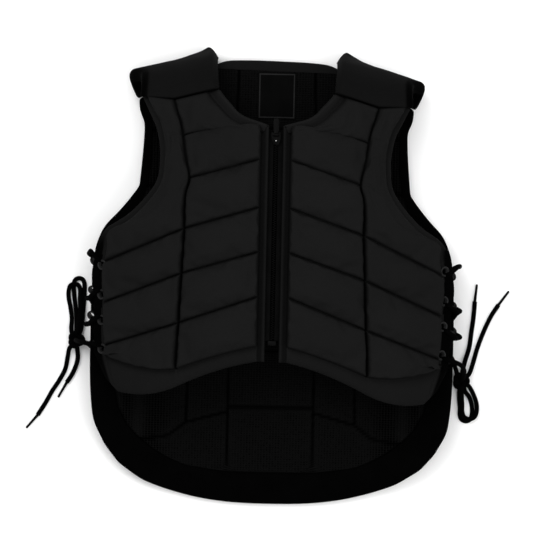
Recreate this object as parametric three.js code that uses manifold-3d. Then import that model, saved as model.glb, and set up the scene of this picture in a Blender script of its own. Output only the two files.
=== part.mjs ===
// A riding body protector: a front-zipped foam vest laced at both sides, laid on its back.
// +X is the vest's left side as it lies, +Y points to the neck, +Z up from the surface that it lies on.
import * as THREE from "three";
import { mergeVertices } from "three/addons/utils/BufferGeometryUtils.js";
import Module from "manifold-3d";

const wasm = await Module();
wasm.setup();

// Driving dimensions, in millimetres.
const vestWidth = 380; // over the side edges of the back
const vestLength = 478; // from the tail of the back to the top of the shoulders
const vestHeight = 128; // from the surface to the top of the chest blocks
const padThickness = 18; // foam block with its cover
const blockCrown = 1.5; // how much a block swells across its middle
const strapPad = 13; // foam over the shoulder
const edgeWall = 5; // cover and lining sewn together round the edges
const seamFloor = 8; // what is left of the pad under a seam
const channelFloor = 5; // what is left under the two long channels of the front
const grooveHalf = 5; // half the width of a seam's groove
const clearance = 0.4; // between neighbouring pieces
const seamGap = 0.8; // between a shoulder piece and the panels that it joins
const zipOpening = 14; // between the two fronts
const zipMargin = 8; // flat border beside the zip
const neckMargin = 11; // facing round the neck
const sideStrip = 14; // flat strip that holds the eyelets
const armMargin = 7; // flat border of the armhole
const tailBorder = 32; // plain band round the mesh lining of the tail
const backFlat = 100; // half width of the flat middle of the back
const sideCurl = 27; // how far the back's sides curl up
const sideGap = 12.5; // between the front's side edge and the back's, bridged by the laces
const neckDrop = 20; // how far the front falls from the chest to the shoulder seam
const hemDrop = 5; // how far the front falls from the chest to its hem
const tailDroop = 8; // how far the tail's border sinks towards the surface
const lean = 0.022; // how much the fronts slant to the right as the vest lies
const liningThickness = 1.2;
const liningDimple = 2; // depth of the sewn lines in the lining
const eyeletOuter = 5.2; // radius of an eyelet's flange
const eyeletHole = 3;
const eyeletWall = 0.8;
const eyeletLift = 0.5; // flange above the cloth
const eyeletBevel = 0.5;
const laceDiameter = 4.3;
const knotRadius = 7;
const agletRadius = 1.4;
const agletLength = 18;
const agletTip = 0.6; // how much an aglet narrows at its end
const labelWidth = 40;
const labelHeight = 49;
const labelThickness = 0.8;
const zipLength = 218; // from the lower stop to the top of the slider
const zipInset = 6.218; // from the neck's edge to the slider
const tapeWidth = 12; // each half, from the teeth outwards
const tapeThickness = 1.2;
const chainWidth = 4.6;
const chainThickness = 2.4;
const sliderLength = 13;
const sliderWidth = 10;
const sliderHeight = 3.6;
const pullLength = 17;
const pullWidth = 6;
const pullThickness = 1.6;
const pinRadius = 0.7;
const barrelRadius = 1.9;
const boreRadius = 1.1;
const hingeInset = 2.5; // of the pull's pin, from the slider's upper end
const earWidth = 1;
const earDepth = 2.4;
const stopLength = 5;
const stopWidth = 9;
const stopHeight = 3.6;

const half = vestWidth / 2;
const cover = new THREE.Color(0x1a1a1c);
const black = new THREE.Color(0x070708);

// Fronts, hem to shoulder seam. x is a share of half the width, y of the length from the middle of the vest.
// inner runs up beside the zip and round the neck, channel is the long gap between the two columns of blocks,
// edge runs up the side and round the armhole. bow lifts the line between them. seam says which it parts.
const FRONT_ROWS = [
  { inner: [0, -0.186], channel: [0.511, -0.247], edge: [0.905, -0.236], bow: [0.007, -0.012], seam: "rim" },
  { inner: [0, -0.151], channel: [0.511, -0.209], edge: [0.953, -0.197], bow: [0.004, -0.012], seam: "both" },
  { inner: [0, -0.042], channel: [0.5, -0.107], edge: [0.97, -0.167], bow: [0, 0], seam: "both" },
  { inner: [0, 0.056], channel: [0.489, 0.002], edge: [0.979, -0.071], bow: [0, 0], seam: "both" },
  { inner: [0, 0.153], channel: [0.479, 0.1], edge: [0.979, 0.026], bow: [0, 0], seam: "both" },
  { inner: [0, 0.192], channel: [0.479, 0.142], edge: [0.921, 0.092], bow: [0, 0], seam: "none" },
  { inner: [0, 0.218], channel: [0.474, 0.17], edge: [0.8, 0.125], bow: [0, 0], seam: "none" },
  { inner: [0, 0.251], channel: [0.458, 0.205], edge: [0.663, 0.188], bow: [0, 0], seam: "inner" },
  { inner: [0, 0.295], channel: [0.48, 0.25], edge: [0.632, 0.245], bow: [0, 0], seam: "none" },
  { inner: [0, 0.331], channel: [0.495, 0.295], edge: [0.642, 0.295], bow: [0.008, 0], seam: "inner" },
  { inner: [0.174, 0.349], channel: [0.505, 0.318], edge: [0.66, 0.322], bow: [0, 0], seam: "none" },
  { inner: [0.258, 0.381], channel: [0.521, 0.343], edge: [0.689, 0.346], bow: [0, 0], seam: "none" },
  { inner: [0.316, 0.408], channel: [0.547, 0.381], edge: [0.732, 0.383], bow: [0, 0], seam: "join" },
];
const TOP_FRONT = FRONT_ROWS[FRONT_ROWS.length - 1];

// Back, tail to neck. y is the height at the middle, bend how far the line has dropped at the outer columns,
// edge the point on the side or armhole and band the width of the border there in millimetres.
const BACK_ROWS = [
  { y: -0.5, bend: 0, edge: [0.832, -0.416], band: tailBorder, seam: "rim" },
  { y: -0.431, bend: 0, edge: [0.921, -0.372], band: tailBorder, seam: "both" },
  { y: -0.287, bend: 0.035, edge: [0.984, -0.31], band: tailBorder, seam: "both" },
  { y: -0.164, bend: 0.035, edge: [1, -0.206], band: 22, seam: "both" },
  { y: -0.041, bend: 0.035, edge: [1, -0.083], band: sideStrip, seam: "both" },
  { y: 0.082, bend: 0.035, edge: [0.985, 0.04], band: sideStrip, seam: "both" },
  { y: 0.14, bend: 0.025, edge: [0.94, 0.097], band: sideStrip, seam: "none" },
  { y: 0.175, bend: 0.02, edge: [0.842, 0.141], band: armMargin, seam: "none" },
  { y: 0.205, bend: 0.02, edge: [0.747, 0.196], band: armMargin, seam: "both" },
  { y: 0.328, bend: 0.015, edge: [0.726, 0.318], band: armMargin, seam: "both" },
  { y: 0.454, bend: 0, edge: [0.755, 0.362], band: armMargin, seam: "neck" },
  { y: 0.477, bend: 0, edge: [0.758, 0.381], band: armMargin, seam: "join" },
];
const TOP_BACK = BACK_ROWS[BACK_ROWS.length - 1];
const NECK_CORNER = [0.295, 0.473]; // where the back's neck edge meets the shoulder
const BACK_COLUMNS = [0, 0.21, 0.235, 0.26, 0.5, 0.7]; // centre block, seam, outer block

// Shoulder, from the front seam over the fold to the back seam. The reaches are the shares of the length at
// the top of the fold, at the neck and at the armhole. flare widens the outer edge below the fold, as a share
// of the half width.
const SHOULDER = { neckReach: 0.505, armReach: 0.452, flare: 0.06 };
const SHOULDER_TURN = (TOP_FRONT.channel[0] - TOP_FRONT.inner[0]) / (TOP_FRONT.edge[0] - TOP_FRONT.inner[0]);
const SHOULDER_ACROSS = [0, 0.13, 0.19, SHOULDER_TURN, 0.85, 0.91, 1];
const SHOULDER_ALONG = [0, 0.08, 0.22, 0.36, 0.5, 0.64, 0.78, 0.92, 1];

// Eyelets, as shares of the length from the middle, down each side.
const EYELETS = [0.021, -0.044, -0.1, -0.163];

// Free ends of the laces, in millimetres, as they lie: for each side the bow's knot, the two leads
// that reach it from the lowest eyelets, its two loops and its two tails.
const BOWS = {
  right: {
    knot: [-206, -70, 9],
    leads: [
      [[-183.9, -74.1, 70.1], [-187.5, -73.6, 73.5], [-193.5, -73, 72.5], [-199.5, -72, 65], [-203.5, -71, 53],
        [-205.5, -70.5, 39], [-206, -70, 26], [-206, -70, 16.4]],
      [[-186.5, -76.8, 30], [-189.3, -76.8, 26.5], [-193.9, -73.6, 17.2], [-199.7, -71.5, 12.6]],
    ],
    loops: [
      [[-201.9, -63.9, 8.3], [-198.6, -57.4, 7.4], [-196, -36, 4], [-195, -22, 2.5], [-197, -9, 2.3],
        [-204, -1, 2.3], [-211, -6, 2.3], [-213, -18, 2.3], [-210, -32, 2.5], [-207, -46, 4],
        [-207.1, -62.8, 7.5]],
      [[-206, -64.4, 13.9], [-205.7, -60.8, 16.2], [-203.5, -53, 14], [-201, -38, 9.5], [-202, -26, 7.5],
        [-206, -15, 7], [-213, -9, 6.8], [-220, -13, 6], [-221, -23, 3.5], [-218, -35, 3],
        [-215, -48, 5], [-215.6, -57, 8.8], [-214.5, -62.4, 11], [-211.6, -65.4, 10.5]],
    ],
    tails: [
      [[-210.4, -75.8, 8.3], [-212.9, -79.1, 7.6], [-214.6, -88, 4], [-217, -101, 2.3], [-223, -113, 2.3],
        [-230, -124, 2.3], [-237, -137, 2.3], [-245, -150, 2.3]],
      [[-204.9, -77.2, 7.9], [-204, -89, 4.5], [-206, -98, 2.4], [-210, -107, 2.3], [-215, -115, 2.3]],
    ],
  },
  left: {
    knot: [200, -105, 9],
    leads: [
      [[183.9, -82.1, 70.1], [187.5, -83, 73.5], [193, -85, 73], [199, -88, 66], [202, -92, 54],
        [203, -97, 40], [202, -101.5, 27], [200.7, -103.9, 16.3]],
      [[186.5, -79.1, 30], [188.7, -79.7, 27], [191.5, -84.5, 22], [194, -92, 17], [196.7, -99.4, 12.6]],
    ],
    loops: [
      [[196.7, -111.5, 8.3], [195.2, -115.2, 7.6], [195.3, -124, 5.8], [197, -135, 3.5], [201, -145, 2.4],
        [209, -149, 2.3], [215, -143, 2.3], [216, -132, 2.4], [211, -121.5, 4.5], [204, -115.6, 6.7],
        [202.6, -111.8, 7.5]],
      [[198.9, -110.2, 14.2], [198.4, -113.3, 16.2], [199, -122, 13.8], [200, -134, 10],
        [205, -142, 8], [213, -145, 7], [221, -140, 6], [223, -130, 5.5], [217, -118, 9],
        [210.2, -110.4, 12.4], [206.3, -108.3, 11.2]],
    ],
    tails: [
      [[200.8, -97.7, 7.9], [204, -84, 4], [208, -70, 2.4], [210, -54, 2.3], [212, -37, 2.3],
        [213, -21, 2.3]],
      [[205.6, -100.4, 7.5], [208.4, -97.6, 6.7], [212.4, -86, 3.6], [217, -69, 2.3], [224, -50, 2.3],
        [231, -35, 2.3], [238, -24, 2.3]],
    ],
  },
};
const AGLETS = { right: [[-0.61, -0.79], [-0.52, -0.85]], left: [[0.06, 1], [0.55, 0.83]] };

const share = ([x, y]) => new THREE.Vector2(x * half, y * vestLength);
const smooth = (t) => THREE.MathUtils.smoothstep(t, 0, 1);
const mix = THREE.MathUtils.lerp;

// Shares of the length: where the chest is highest, where the neck's curve and the shallow upper seams begin,
// where the tail's border starts to sink and where the back starts to slant, each with the stretch it takes.
const CHEST = 0.16;
const NECK_CURVE = 0.33;
const UPPER_SEAMS = 0.26;
const SIDE_STRIP_END = { at: 0.1, over: 0.04 };
const TAIL_SINK = { at: -0.425, over: 0.08 };
const SLANT = { at: -0.25, over: 0.65 };
const HEM_CORNER = [0.065, 0.029]; // how far the strip's foot stands in from the hem's corner
const sideFall = 2.2; // power of the fall from the zip to the side
const sideCurve = 1.8; // power of the curl of the back's sides
const blockWall = edgeWall + 1; // a flat border, just inside its edge

// Height of the lining of the fronts and of the back.
const chestY = CHEST * vestLength;
const chestZ = vestHeight - padThickness - blockCrown;
const sideDrop = chestZ - (padThickness + sideCurl + sideGap);
function frontLining(x, y) {
  const toNeck = smooth((y - chestY) / (TOP_FRONT.edge[1] * vestLength - chestY));
  const toHem = smooth((chestY - y) / (chestY - FRONT_ROWS[0].channel[1] * vestLength));
  return chestZ - sideDrop * (Math.abs(x) / half) ** sideFall - neckDrop * toNeck - hemDrop * toHem;
}
function normalAt(lining, x, y) {
  const slope = (dx, dy) => (lining(x + dx, y + dy) - lining(x - dx, y - dy)) / 2;
  return new THREE.Vector3(-slope(1, 0), -slope(0, 1), 1).normalize();
}
function backLining(x, y) {
  const out = Math.max(0, Math.abs(x) - backFlat) / (half - backFlat);
  const tail = smooth((TAIL_SINK.at - y / vestLength) / TAIL_SINK.over);
  return padThickness + sideCurl * out ** sideCurve - tailDroop * tail * (1 - Math.min(1, out));
}
// The slant of the whole vest as it lies: full on the fronts, fading towards the tail on the back.
function lie(geometry) {
  const p = geometry.getAttribute("position");
  for (let i = 0; i < p.count; i++) {
    const up = smooth((p.getY(i) / vestLength - SLANT.at) / SLANT.over);
    const high = smooth((p.getZ(i) - padThickness) / (2 * padThickness));
    p.setY(i, p.getY(i) - lean * p.getX(i) * Math.max(up, high));
  }
  return geometry;
}

// A point between two points, a distance in from the first.
const towards = (a, b, distance) => a.clone().addScaledVector(b.clone().sub(a).normalize(), distance);
// The unit vector across the edge at one row, pointing into the panel.
function inward(points, i, side) {
  const next = points[Math.min(i + 1, points.length - 1)];
  const along = next.clone().sub(points[Math.max(i - 1, 0)]).normalize();
  return new THREE.Vector2(-along.y * side, along.x * side);
}

// Rows of a panel with a raised row on each side of every seam.
function withBlocks(rows, gap, blend) {
  const out = [];
  rows.forEach((row, i) => {
    out.push(row);
    const next = rows[i + 1];
    if (!next) return;
    const length = gap(row, next);
    const step = grooveHalf / length;
    const parts = (r) => r.seam === "both" || r.seam === "inner";
    const ends = (r) => parts(r) || (r.seam === "join" && row.seam !== "neck");
    if (parts(row)) out.push({ ...blend(row, next, step), seam: "none" });
    if (ends(next) && row.seam !== "rim") out.push({ ...blend(row, next, 1 - step), seam: "none" });
  });
  return out;
}

// The closed solid between two grids of points with the same rows and columns.
function solidBetween(outer, inner) {
  const rows = outer.length;
  const columns = outer[0].length;
  const points = [...outer.flat(), ...inner.flat()];
  const at = (r, c) => r * columns + c;
  const under = (r, c) => rows * columns + at(r, c);
  const faces = [];
  const quad = (a, b, c, d) => faces.push(a, b, c, a, c, d);
  for (let r = 0; r + 1 < rows; r++)
    for (let c = 0; c + 1 < columns; c++) {
      quad(at(r, c), at(r, c + 1), at(r + 1, c + 1), at(r + 1, c));
      quad(under(r, c), under(r + 1, c), under(r + 1, c + 1), under(r, c + 1));
    }
  for (let c = 0; c + 1 < columns; c++) {
    quad(at(0, c), under(0, c), under(0, c + 1), at(0, c + 1));
    quad(at(rows - 1, c + 1), under(rows - 1, c + 1), under(rows - 1, c), at(rows - 1, c));
  }
  for (let r = 0; r + 1 < rows; r++) {
    quad(at(r + 1, 0), under(r + 1, 0), under(r, 0), at(r, 0));
    quad(at(r, columns - 1), under(r, columns - 1), under(r + 1, columns - 1), at(r + 1, columns - 1));
  }
  const geometry = new THREE.BufferGeometry().setFromPoints(points);
  geometry.setIndex(faces);
  return facingOut(geometry);
}
function facingOut(geometry) {
  const p = geometry.getAttribute("position");
  const index = geometry.getIndex().array;
  const v = [0, 1, 2].map(() => new THREE.Vector3());
  let volume = 0;
  for (let i = 0; i < index.length; i += 3) {
    v.forEach((corner, k) => corner.fromBufferAttribute(p, index[i + k]));
    volume += v[0].dot(v[1].clone().cross(v[2]));
  }
  const swap = (i) => ([index[i], index[i + 1]] = [index[i + 1], index[i]]);
  if (volume < 0) for (let i = 0; i < index.length; i += 3) swap(i);
  return geometry;
}

// Unit normals of a grid of points, turned to the side that up points to.
function normalsOf(grid, up) {
  const last = grid.length - 1;
  return grid.map((row, r) =>
    row.map((_, c) => {
      const across = row[Math.min(c + 1, row.length - 1)].clone().sub(row[Math.max(c - 1, 0)]);
      const along = grid[Math.min(r + 1, last)][c].clone().sub(grid[Math.max(r - 1, 0)][c]);
      const normal = across.cross(along).normalize();
      return normal.dot(up(r, c)) < 0 ? normal.negate() : normal;
    }),
  );
}
const offset = (grid, normals, by) =>
  grid.map((row, r) => row.map((p, c) => p.clone().addScaledVector(normals[r][c], by(r, c))));

// Booleans on three.js geometries.
function solid(geometry) {
  const bare = geometry.index ? geometry.toNonIndexed() : geometry.clone();
  bare.deleteAttribute("normal");
  bare.deleteAttribute("uv");
  const merged = mergeVertices(bare, 1e-4);
  const triVerts = new Uint32Array(merged.index.array);
  const vertProperties = merged.attributes.position.array;
  return new wasm.Manifold(new wasm.Mesh({ numProp: 3, vertProperties, triVerts }));
}
function geometryOf(manifold) {
  const mesh = manifold.getMesh();
  const geometry = new THREE.BufferGeometry();
  geometry.setAttribute("position", new THREE.BufferAttribute(new Float32Array(mesh.vertProperties), 3));
  return geometry.setIndex(new THREE.BufferAttribute(new Uint32Array(mesh.triVerts), 1));
}

// Fronts.
function frontGrid(side) {
  const rows = withBlocks(
    FRONT_ROWS,
    (a, b) => share(a.channel).distanceTo(share(b.channel)),
    (a, b, t) => ({
      inner: a.inner.map((v, k) => mix(v, b.inner[k], t)),
      channel: a.channel.map((v, k) => mix(v, b.channel[k], t)),
      edge: a.edge.map((v, k) => mix(v, b.edge[k], t)),
      bow: a.bow.map((v, k) => mix(v, b.bow[k], t)),
    }),
  );
  const startX = zipOpening / 2;
  const inner = rows.map((r) => share(r.inner).add(new THREE.Vector2(r.inner[0] ? 0 : startX, 0)));
  const edge = rows.map((r) => share(r.edge));
  const points = rows.map((row, i) => {
    const channel = share(row.channel);
    const isRim = row.seam === "rim";
    const joins = row.seam === "join";
    const round = inner[i].x > startX || row.inner[1] > NECK_CURVE;
    const foot = joins
      ? towards(inner[i], channel, neckMargin)
      : inner[i].clone().addScaledVector(inward(inner, i, -1), round ? neckMargin : zipMargin);
    const below = smooth((SIDE_STRIP_END.at - row.edge[1]) / SIDE_STRIP_END.over);
    const margin = mix(armMargin, sideStrip, below);
    const strip = isRim
      ? edge[i].clone().sub(share(HEM_CORNER))
      : joins
        ? towards(edge[i], channel, armMargin)
        : edge[i].clone().addScaledVector(inward(edge, i, 1), margin);
    const first = towards(foot, channel, grooveHalf);
    const beforeGap = towards(channel, foot, grooveHalf);
    const afterGap = towards(channel, strip, grooveHalf);
    const last = towards(strip, channel, grooveHalf);
    const middle = (a, b) => a.clone().lerp(b, 0.5);
    const line = [inner[i], foot, first, middle(first, beforeGap), beforeGap, channel, afterGap,
      middle(afterGap, last), last, strip, edge[i]];
    return line.map((p, c) => {
      const [from, to, lift] = c < 5 ? [foot, channel, row.bow[0]] : [channel, strip, row.bow[1]];
      const t = THREE.MathUtils.clamp((p.x - from.x) / (to.x - from.x), 0, 1);
      const y = p.y + 4 * t * (1 - t) * lift * vestLength * (c < 10 ? 1 : 0);
      return new THREE.Vector3(side * p.x, y, frontLining(p.x, y));
    });
  });
  const depth = (r, c) => {
    const { seam } = rows[r];
    const upper = rows[r].inner[1] > UPPER_SEAMS;
    if (c === 0 || c === 10 || seam === "rim") return edgeWall;
    if (c === 1 || c === 9 || r === 1) return blockWall;
    if (c === 5) return upper ? seamFloor + 1 : channelFloor;
    if (seam === "both" || seam === "join" || (seam === "inner" && c < 5)) return seamFloor;
    return padThickness + (c === 3 || c === 7 ? blockCrown : 0);
  };
  return { points, depth };
}
function frontPanel(side) {
  const { points, depth } = frontGrid(side);
  const normals = normalsOf(points, () => new THREE.Vector3(0, 0, 1));
  return { lining: points, cover: offset(points, normals, depth), normals };
}

// Back.
function backGrid() {
  const rows = withBlocks(
    BACK_ROWS,
    (a, b) => (b.y - a.y) * vestLength,
    (a, b, t) => ({
      y: mix(a.y, b.y, t),
      bend: mix(a.bend, b.bend, t),
      band: mix(a.band, b.band, t),
      edge: a.edge.map((v, k) => mix(v, b.edge[k], t)),
    }),
  );
  const edge = rows.map((r) => share(r.edge));
  const neckX = NECK_CORNER[0];
  const points = rows.map((row, i) => {
    const rim = row.seam === "rim";
    const strip = rim
      ? new THREE.Vector2(edge[i].x * 0.9, mix(edge[i].y, row.y * vestLength, 0.3))
      : edge[i].clone().addScaledVector(inward(edge, i, 1), row.band);
    const top = row.seam === "neck" || row.seam === "join";
    const height = (x) => {
      if (top) {
        const t = Math.max(0, x / half - neckX) / (row.edge[0] - neckX);
        const corner = NECK_CORNER[1] - (TOP_BACK.y - row.y);
        return mix(mix(row.y, corner, Math.min(1, x / (neckX * half)) ** 3), row.edge[1], t) * vestLength;
      }
      const t = x / strip.x;
      const bent = row.y * vestLength - row.bend * vestLength * smooth((t - 0.25) / 0.6);
      const blendTo = rim || i === 1 ? t ** 2.6 : Math.max(0, (t - 0.6) / 0.4) ** 1.5;
      return mix(bent, strip.y, blendTo);
    };
    const squeeze = Math.min(1, strip.x / (0.78 * half));
    const xs = BACK_COLUMNS.map((v, c) => half * v * (c < 4 ? 1 : squeeze));
    if (top) xs[3] = neckX * half;
    const right = xs.map((x) => new THREE.Vector2(x, height(x)));
    right.push(towards(strip, right[5], grooveHalf), strip, edge[i]);
    if (top) for (const p of right.slice(6, 8)) p.y = height(p.x);
    const left = right.slice(1).reverse().map((p) => new THREE.Vector2(-p.x, p.y));
    return [...left, ...right].map((p) => new THREE.Vector3(p.x, p.y, backLining(p.x, p.y)));
  });
  const edgeColumn = BACK_COLUMNS.length + 2;
  const columnOf = (c) => Math.abs(c - edgeColumn);
  const sewn = (r, c) => rows[r].seam === "both" || (columnOf(c) === 2 && rows[r].seam !== "rim");
  const depth = (r, c) => {
    const k = columnOf(c);
    const { seam } = rows[r];
    if (k === edgeColumn || seam === "rim" || (seam === "join" && k <= 3)) return edgeWall;
    if (k === edgeColumn - 1 || r === 1 || (seam === "neck" && k <= 3)) return blockWall;
    if (seam === "join" || sewn(r, c)) return seamFloor;
    return padThickness;
  };
  return { rows, points, depth, sewn, edgeColumn };
}
function backPanel() {
  const { rows, points, depth, sewn, edgeColumn } = backGrid();
  const normals = normalsOf(points, () => new THREE.Vector3(0, 0, -1));
  const dimpled = (r, c) => sewn(r, c) && c > 0 && c < 2 * edgeColumn;
  const inside = offset(points, normals, (r, c) => (dimpled(r, c) ? liningDimple : 0));
  const cover = offset(points, normals, depth);
  // The lining leaves the border, the neck facing and the shoulder seams bare.
  const from = 1;
  const to = rows.length - 1;
  const part = (grid) => grid.slice(from, to).map((row) => row.slice(1, -1));
  const patch = part(inside);
  const away = part(normals);
  return {
    inside,
    cover,
    normals,
    lining: [
      offset(patch, away, () => -clearance),
      offset(patch, away, () => -clearance - liningThickness),
    ],
  };
}

// Shoulder piece, folded over from the back seam to the front seam.
function shoulder(side) {
  const join = (row, s) => {
    const [a, b, c] = [row.inner, row.channel, row.edge].map(share);
    const turn = (b.x - a.x) / (c.x - a.x);
    return s < turn ? a.clone().lerp(b, s / turn) : b.clone().lerp(c, (s - turn) / (1 - turn));
  };
  const corner = share(NECK_CORNER);
  const points = SHOULDER_ALONG.map((t) =>
    SHOULDER_ACROSS.map((s) => {
      const front = join(TOP_FRONT, s);
      const back = corner.clone().lerp(share(TOP_BACK.edge), s);
      const reach = mix(SHOULDER.neckReach, SHOULDER.armReach, s) * vestLength - strapPad;
      const pull = (reach - (front.y + back.y) / 8) * (8 / 6);
      const frontZ = frontLining(front.x, front.y);
      const backZ = backLining(back.x, back.y);
      const bezier = (a, b, c, d) =>
        a * (1 - t) ** 3 + 3 * b * t * (1 - t) ** 2 + 3 * c * t ** 2 * (1 - t) + d * t ** 3;
      const flare = SHOULDER.flare * half * s ** 2 * 4 * t * (1 - t) * smooth((t - 0.3) / 0.4);
      const y0 = front.y + seamGap;
      const y1 = back.y + seamGap;
      const y = bezier(y0, pull, pull, y1);
      const z = bezier(frontZ, frontZ - 0.15 * (pull - front.y), backZ, backZ);
      const x = mix(front.x, back.x, smooth(t)) + flare;
      return new THREE.Vector3(side * x, y, z);
    }),
  );
  const middle = new THREE.Vector3(0, 0.4 * vestLength, 0.35 * vestHeight);
  const normals = normalsOf(points, (r, c) => points[r][c].clone().sub(middle).setX(0));
  const last = SHOULDER_ALONG.length - 1;
  normals[0] = points[0].map((p) => normalAt(frontLining, p.x, p.y));
  normals[last] = points[last].map((p) => normalAt(backLining, p.x, p.y).negate());
  const depth = (r, c) => {
    if (c === 0 || c === 6) return blockWall;
    if (r === 0 || r === last) return seamFloor;
    if (c === 1 || c === 5) return edgeWall + 3;
    return mix(padThickness, strapPad, Math.min(1, 4 * (r / last) * (1 - r / last))) + (c === 3 ? 1 : 0);
  };
  return solidBetween(offset(points, normals, depth), points);
}

// Eyelets: where they sit on the side strips of a panel.
function seats(grid, normals, [a, b]) {
  return EYELETS.map((v) => {
    const y = v * vestLength;
    const middle = grid.map((row) => row[a].clone().lerp(row[b], 0.5));
    const r = middle.findIndex((p, i) => i > 0 && p.y >= y);
    const t = (y - middle[r - 1].y) / (middle[r].y - middle[r - 1].y);
    const place = middle[r - 1].clone().lerp(middle[r], t);
    const edgeward = grid[r - 1][b].clone().lerp(grid[r][b], t).sub(place).normalize();
    const along = middle[r].clone().sub(middle[r - 1]).normalize();
    const normal = edgeward.clone().cross(along).normalize();
    if (normal.dot(normals[r][b]) < 0) normal.negate();
    return { place, normal, edgeward };
  });
}
function eyelet({ place, normal }) {
  const [barrel, foot, head] = [eyeletHole + eyeletWall, -blockWall, eyeletLift + eyeletWall];
  const profile = [
    [eyeletHole, foot], [barrel, foot], [barrel, eyeletLift], [eyeletOuter, eyeletLift],
    [eyeletOuter - eyeletBevel, head], [eyeletHole, head], [eyeletHole, foot],
  ].map(([x, y]) => new THREE.Vector2(x, y));
  return onto(new THREE.LatheGeometry(profile, 8), place, normal);
}
function eyeletCut({ place, normal }) {
  const radius = eyeletHole + eyeletWall + clearance;
  return onto(new THREE.CylinderGeometry(radius, radius, 4 * edgeWall, 10), place, normal);
}
function onto(geometry, place, normal) {
  const turn = new THREE.Quaternion().setFromUnitVectors(new THREE.Vector3(0, 1, 0), normal);
  return geometry.applyMatrix4(new THREE.Matrix4().compose(place, turn, new THREE.Vector3(1, 1, 1)));
}

// Laces.
function cord(points, steps) {
  const curve = new THREE.CatmullRomCurve3(points, false, "centripetal");
  const section = new THREE.Shape();
  const radius = laceDiameter / 2;
  for (let k = 0; k < 8; k++) {
    const a = (k * Math.PI) / 4;
    section[k ? "lineTo" : "moveTo"](radius * Math.cos(a), radius * Math.sin(a));
  }
  return new THREE.ExtrudeGeometry(section, { steps, bevelEnabled: false, extrudePath: curve });
}
const vector = (p) => new THREE.Vector3(...p);

// The lacing of one side: a bar across the top eyelets and two strands that cross three times on
// the way down. The tables hold how far the lace's middle lies beside an eyelet's centre and above
// it: over the panel's edge, up through the hole, under the panel and at the lowest eyelet, where
// the lead to the bow takes over.
const OVER_EDGE = [[2.5, 5.6], [8.5, 4.6], [12, -1.5], [11, -6.5]];
const THROUGH = [[0, 1.5], [0, -4], [0, -9.5]];
const UNDER = [4, -edgeWall];
const LAST = [0.6, 6];
const beside = ({ place, edgeward, normal }, [along, up]) =>
  place.clone().addScaledVector(edgeward, along).addScaledVector(normal, up);
const overEdge = (e) => OVER_EDGE.map((at) => beside(e, at));
function lacing([f1, f2, f3, f4], [b1, b2, b3, b4], out) {
  const down = (e) => THROUGH.map((at) => beside(e, at));
  const up = (e) => down(e).reverse();
  const crossing = (a, b, aside) =>
    beside(a, UNDER).lerp(beside(b, UNDER), 0.5).add(new THREE.Vector3(aside * out, 0, 0));
  const strand = ([a, b, c, d], aside) => [
    ...down(a), crossing(a, b, aside), ...up(b),
    ...overEdge(b), crossing(b, c, aside), ...up(c),
    ...overEdge(c), crossing(c, d, aside), ...up(d), beside(d, LAST),
  ];
  const aside = laceDiameter / 2 + 2 * clearance;
  const bar = [...overEdge(f1).slice(0, 3), ...overEdge(b1).slice(0, 3).reverse()];
  return [...strand([f1, b2, f3, b4], aside).reverse(), ...bar, ...strand([b1, f2, b3, f4], -aside)];
}
function aglet(points, direction) {
  const end = vector(points[points.length - 1]);
  const along = new THREE.Vector3(...direction, 0).normalize();
  const profile = [
    [0, 0], [agletRadius, 0], [agletRadius, agletLength - 1], [agletRadius - agletTip, agletLength],
    [0, agletLength],
  ].map(([x, y]) => new THREE.Vector2(x, y));
  const start = end.clone().addScaledVector(along, clearance).setZ(end.z);
  return onto(new THREE.LatheGeometry(profile, 8), start, along);
}

// Zip, from the neck's edge down.
const NECK_ROW = FRONT_ROWS.find((row) => row.inner[1] > NECK_CURVE);
const zipTop = NECK_ROW.inner[1] * vestLength - zipInset;
const zipBottom = zipTop - zipLength;
const zipHeight = (y) => frontLining(0, y);
function ribbon(x0, x1, y0, y1, top, thickness, steps = 9) {
  const rows = [...Array(steps + 1)].map((_, i) => mix(y0, y1, i / steps));
  const level = (drop) => rows.map((y) => [x0, x1].map((x) => new THREE.Vector3(x, y, zipHeight(y) - drop)));
  return solidBetween(level(top), level(top + thickness));
}
const sliderBase = Math.max(zipHeight(zipTop), zipHeight(zipTop - sliderLength));
const hinge = new THREE.Vector3(0, zipTop - hingeInset, sliderBase + sliderHeight + barrelRadius + clearance);
const barrelLength = 0.73 * pullWidth;
function sliderShape() {
  const w = sliderWidth / 2;
  const outline = new THREE.Shape([
    [-w, sliderLength], [-w, 0.45 * sliderLength], [-0.55 * w, 0], [0.55 * w, 0], [w, 0.45 * sliderLength],
    [w, sliderLength], [0.3 * w, sliderLength], [0, 0.8 * sliderLength], [-0.3 * w, sliderLength],
  ].map(([x, y]) => new THREE.Vector2(x, y + zipTop - sliderLength)));
  const body = new THREE.ExtrudeGeometry(outline, { depth: sliderHeight, bevelEnabled: false });
  body.translate(0, 0, sliderBase);
  const earX = barrelLength / 2 + clearance + earWidth / 2;
  const earTop = hinge.z + barrelRadius;
  const earFoot = sliderBase + sliderHeight / 2;
  const ear = new THREE.BoxGeometry(earWidth, earDepth, earTop - earFoot);
  const ears = [-1, 1].map((side) => ear.clone().translate(side * earX, hinge.y, (earTop + earFoot) / 2));
  const pin = new THREE.CylinderGeometry(pinRadius, pinRadius, 2 * earX, 8);
  pin.rotateZ(Math.PI / 2).translate(hinge.x, hinge.y, hinge.z);
  return geometryOf([...ears, pin].reduce((all, g) => all.add(solid(g)), solid(body)));
}
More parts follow.
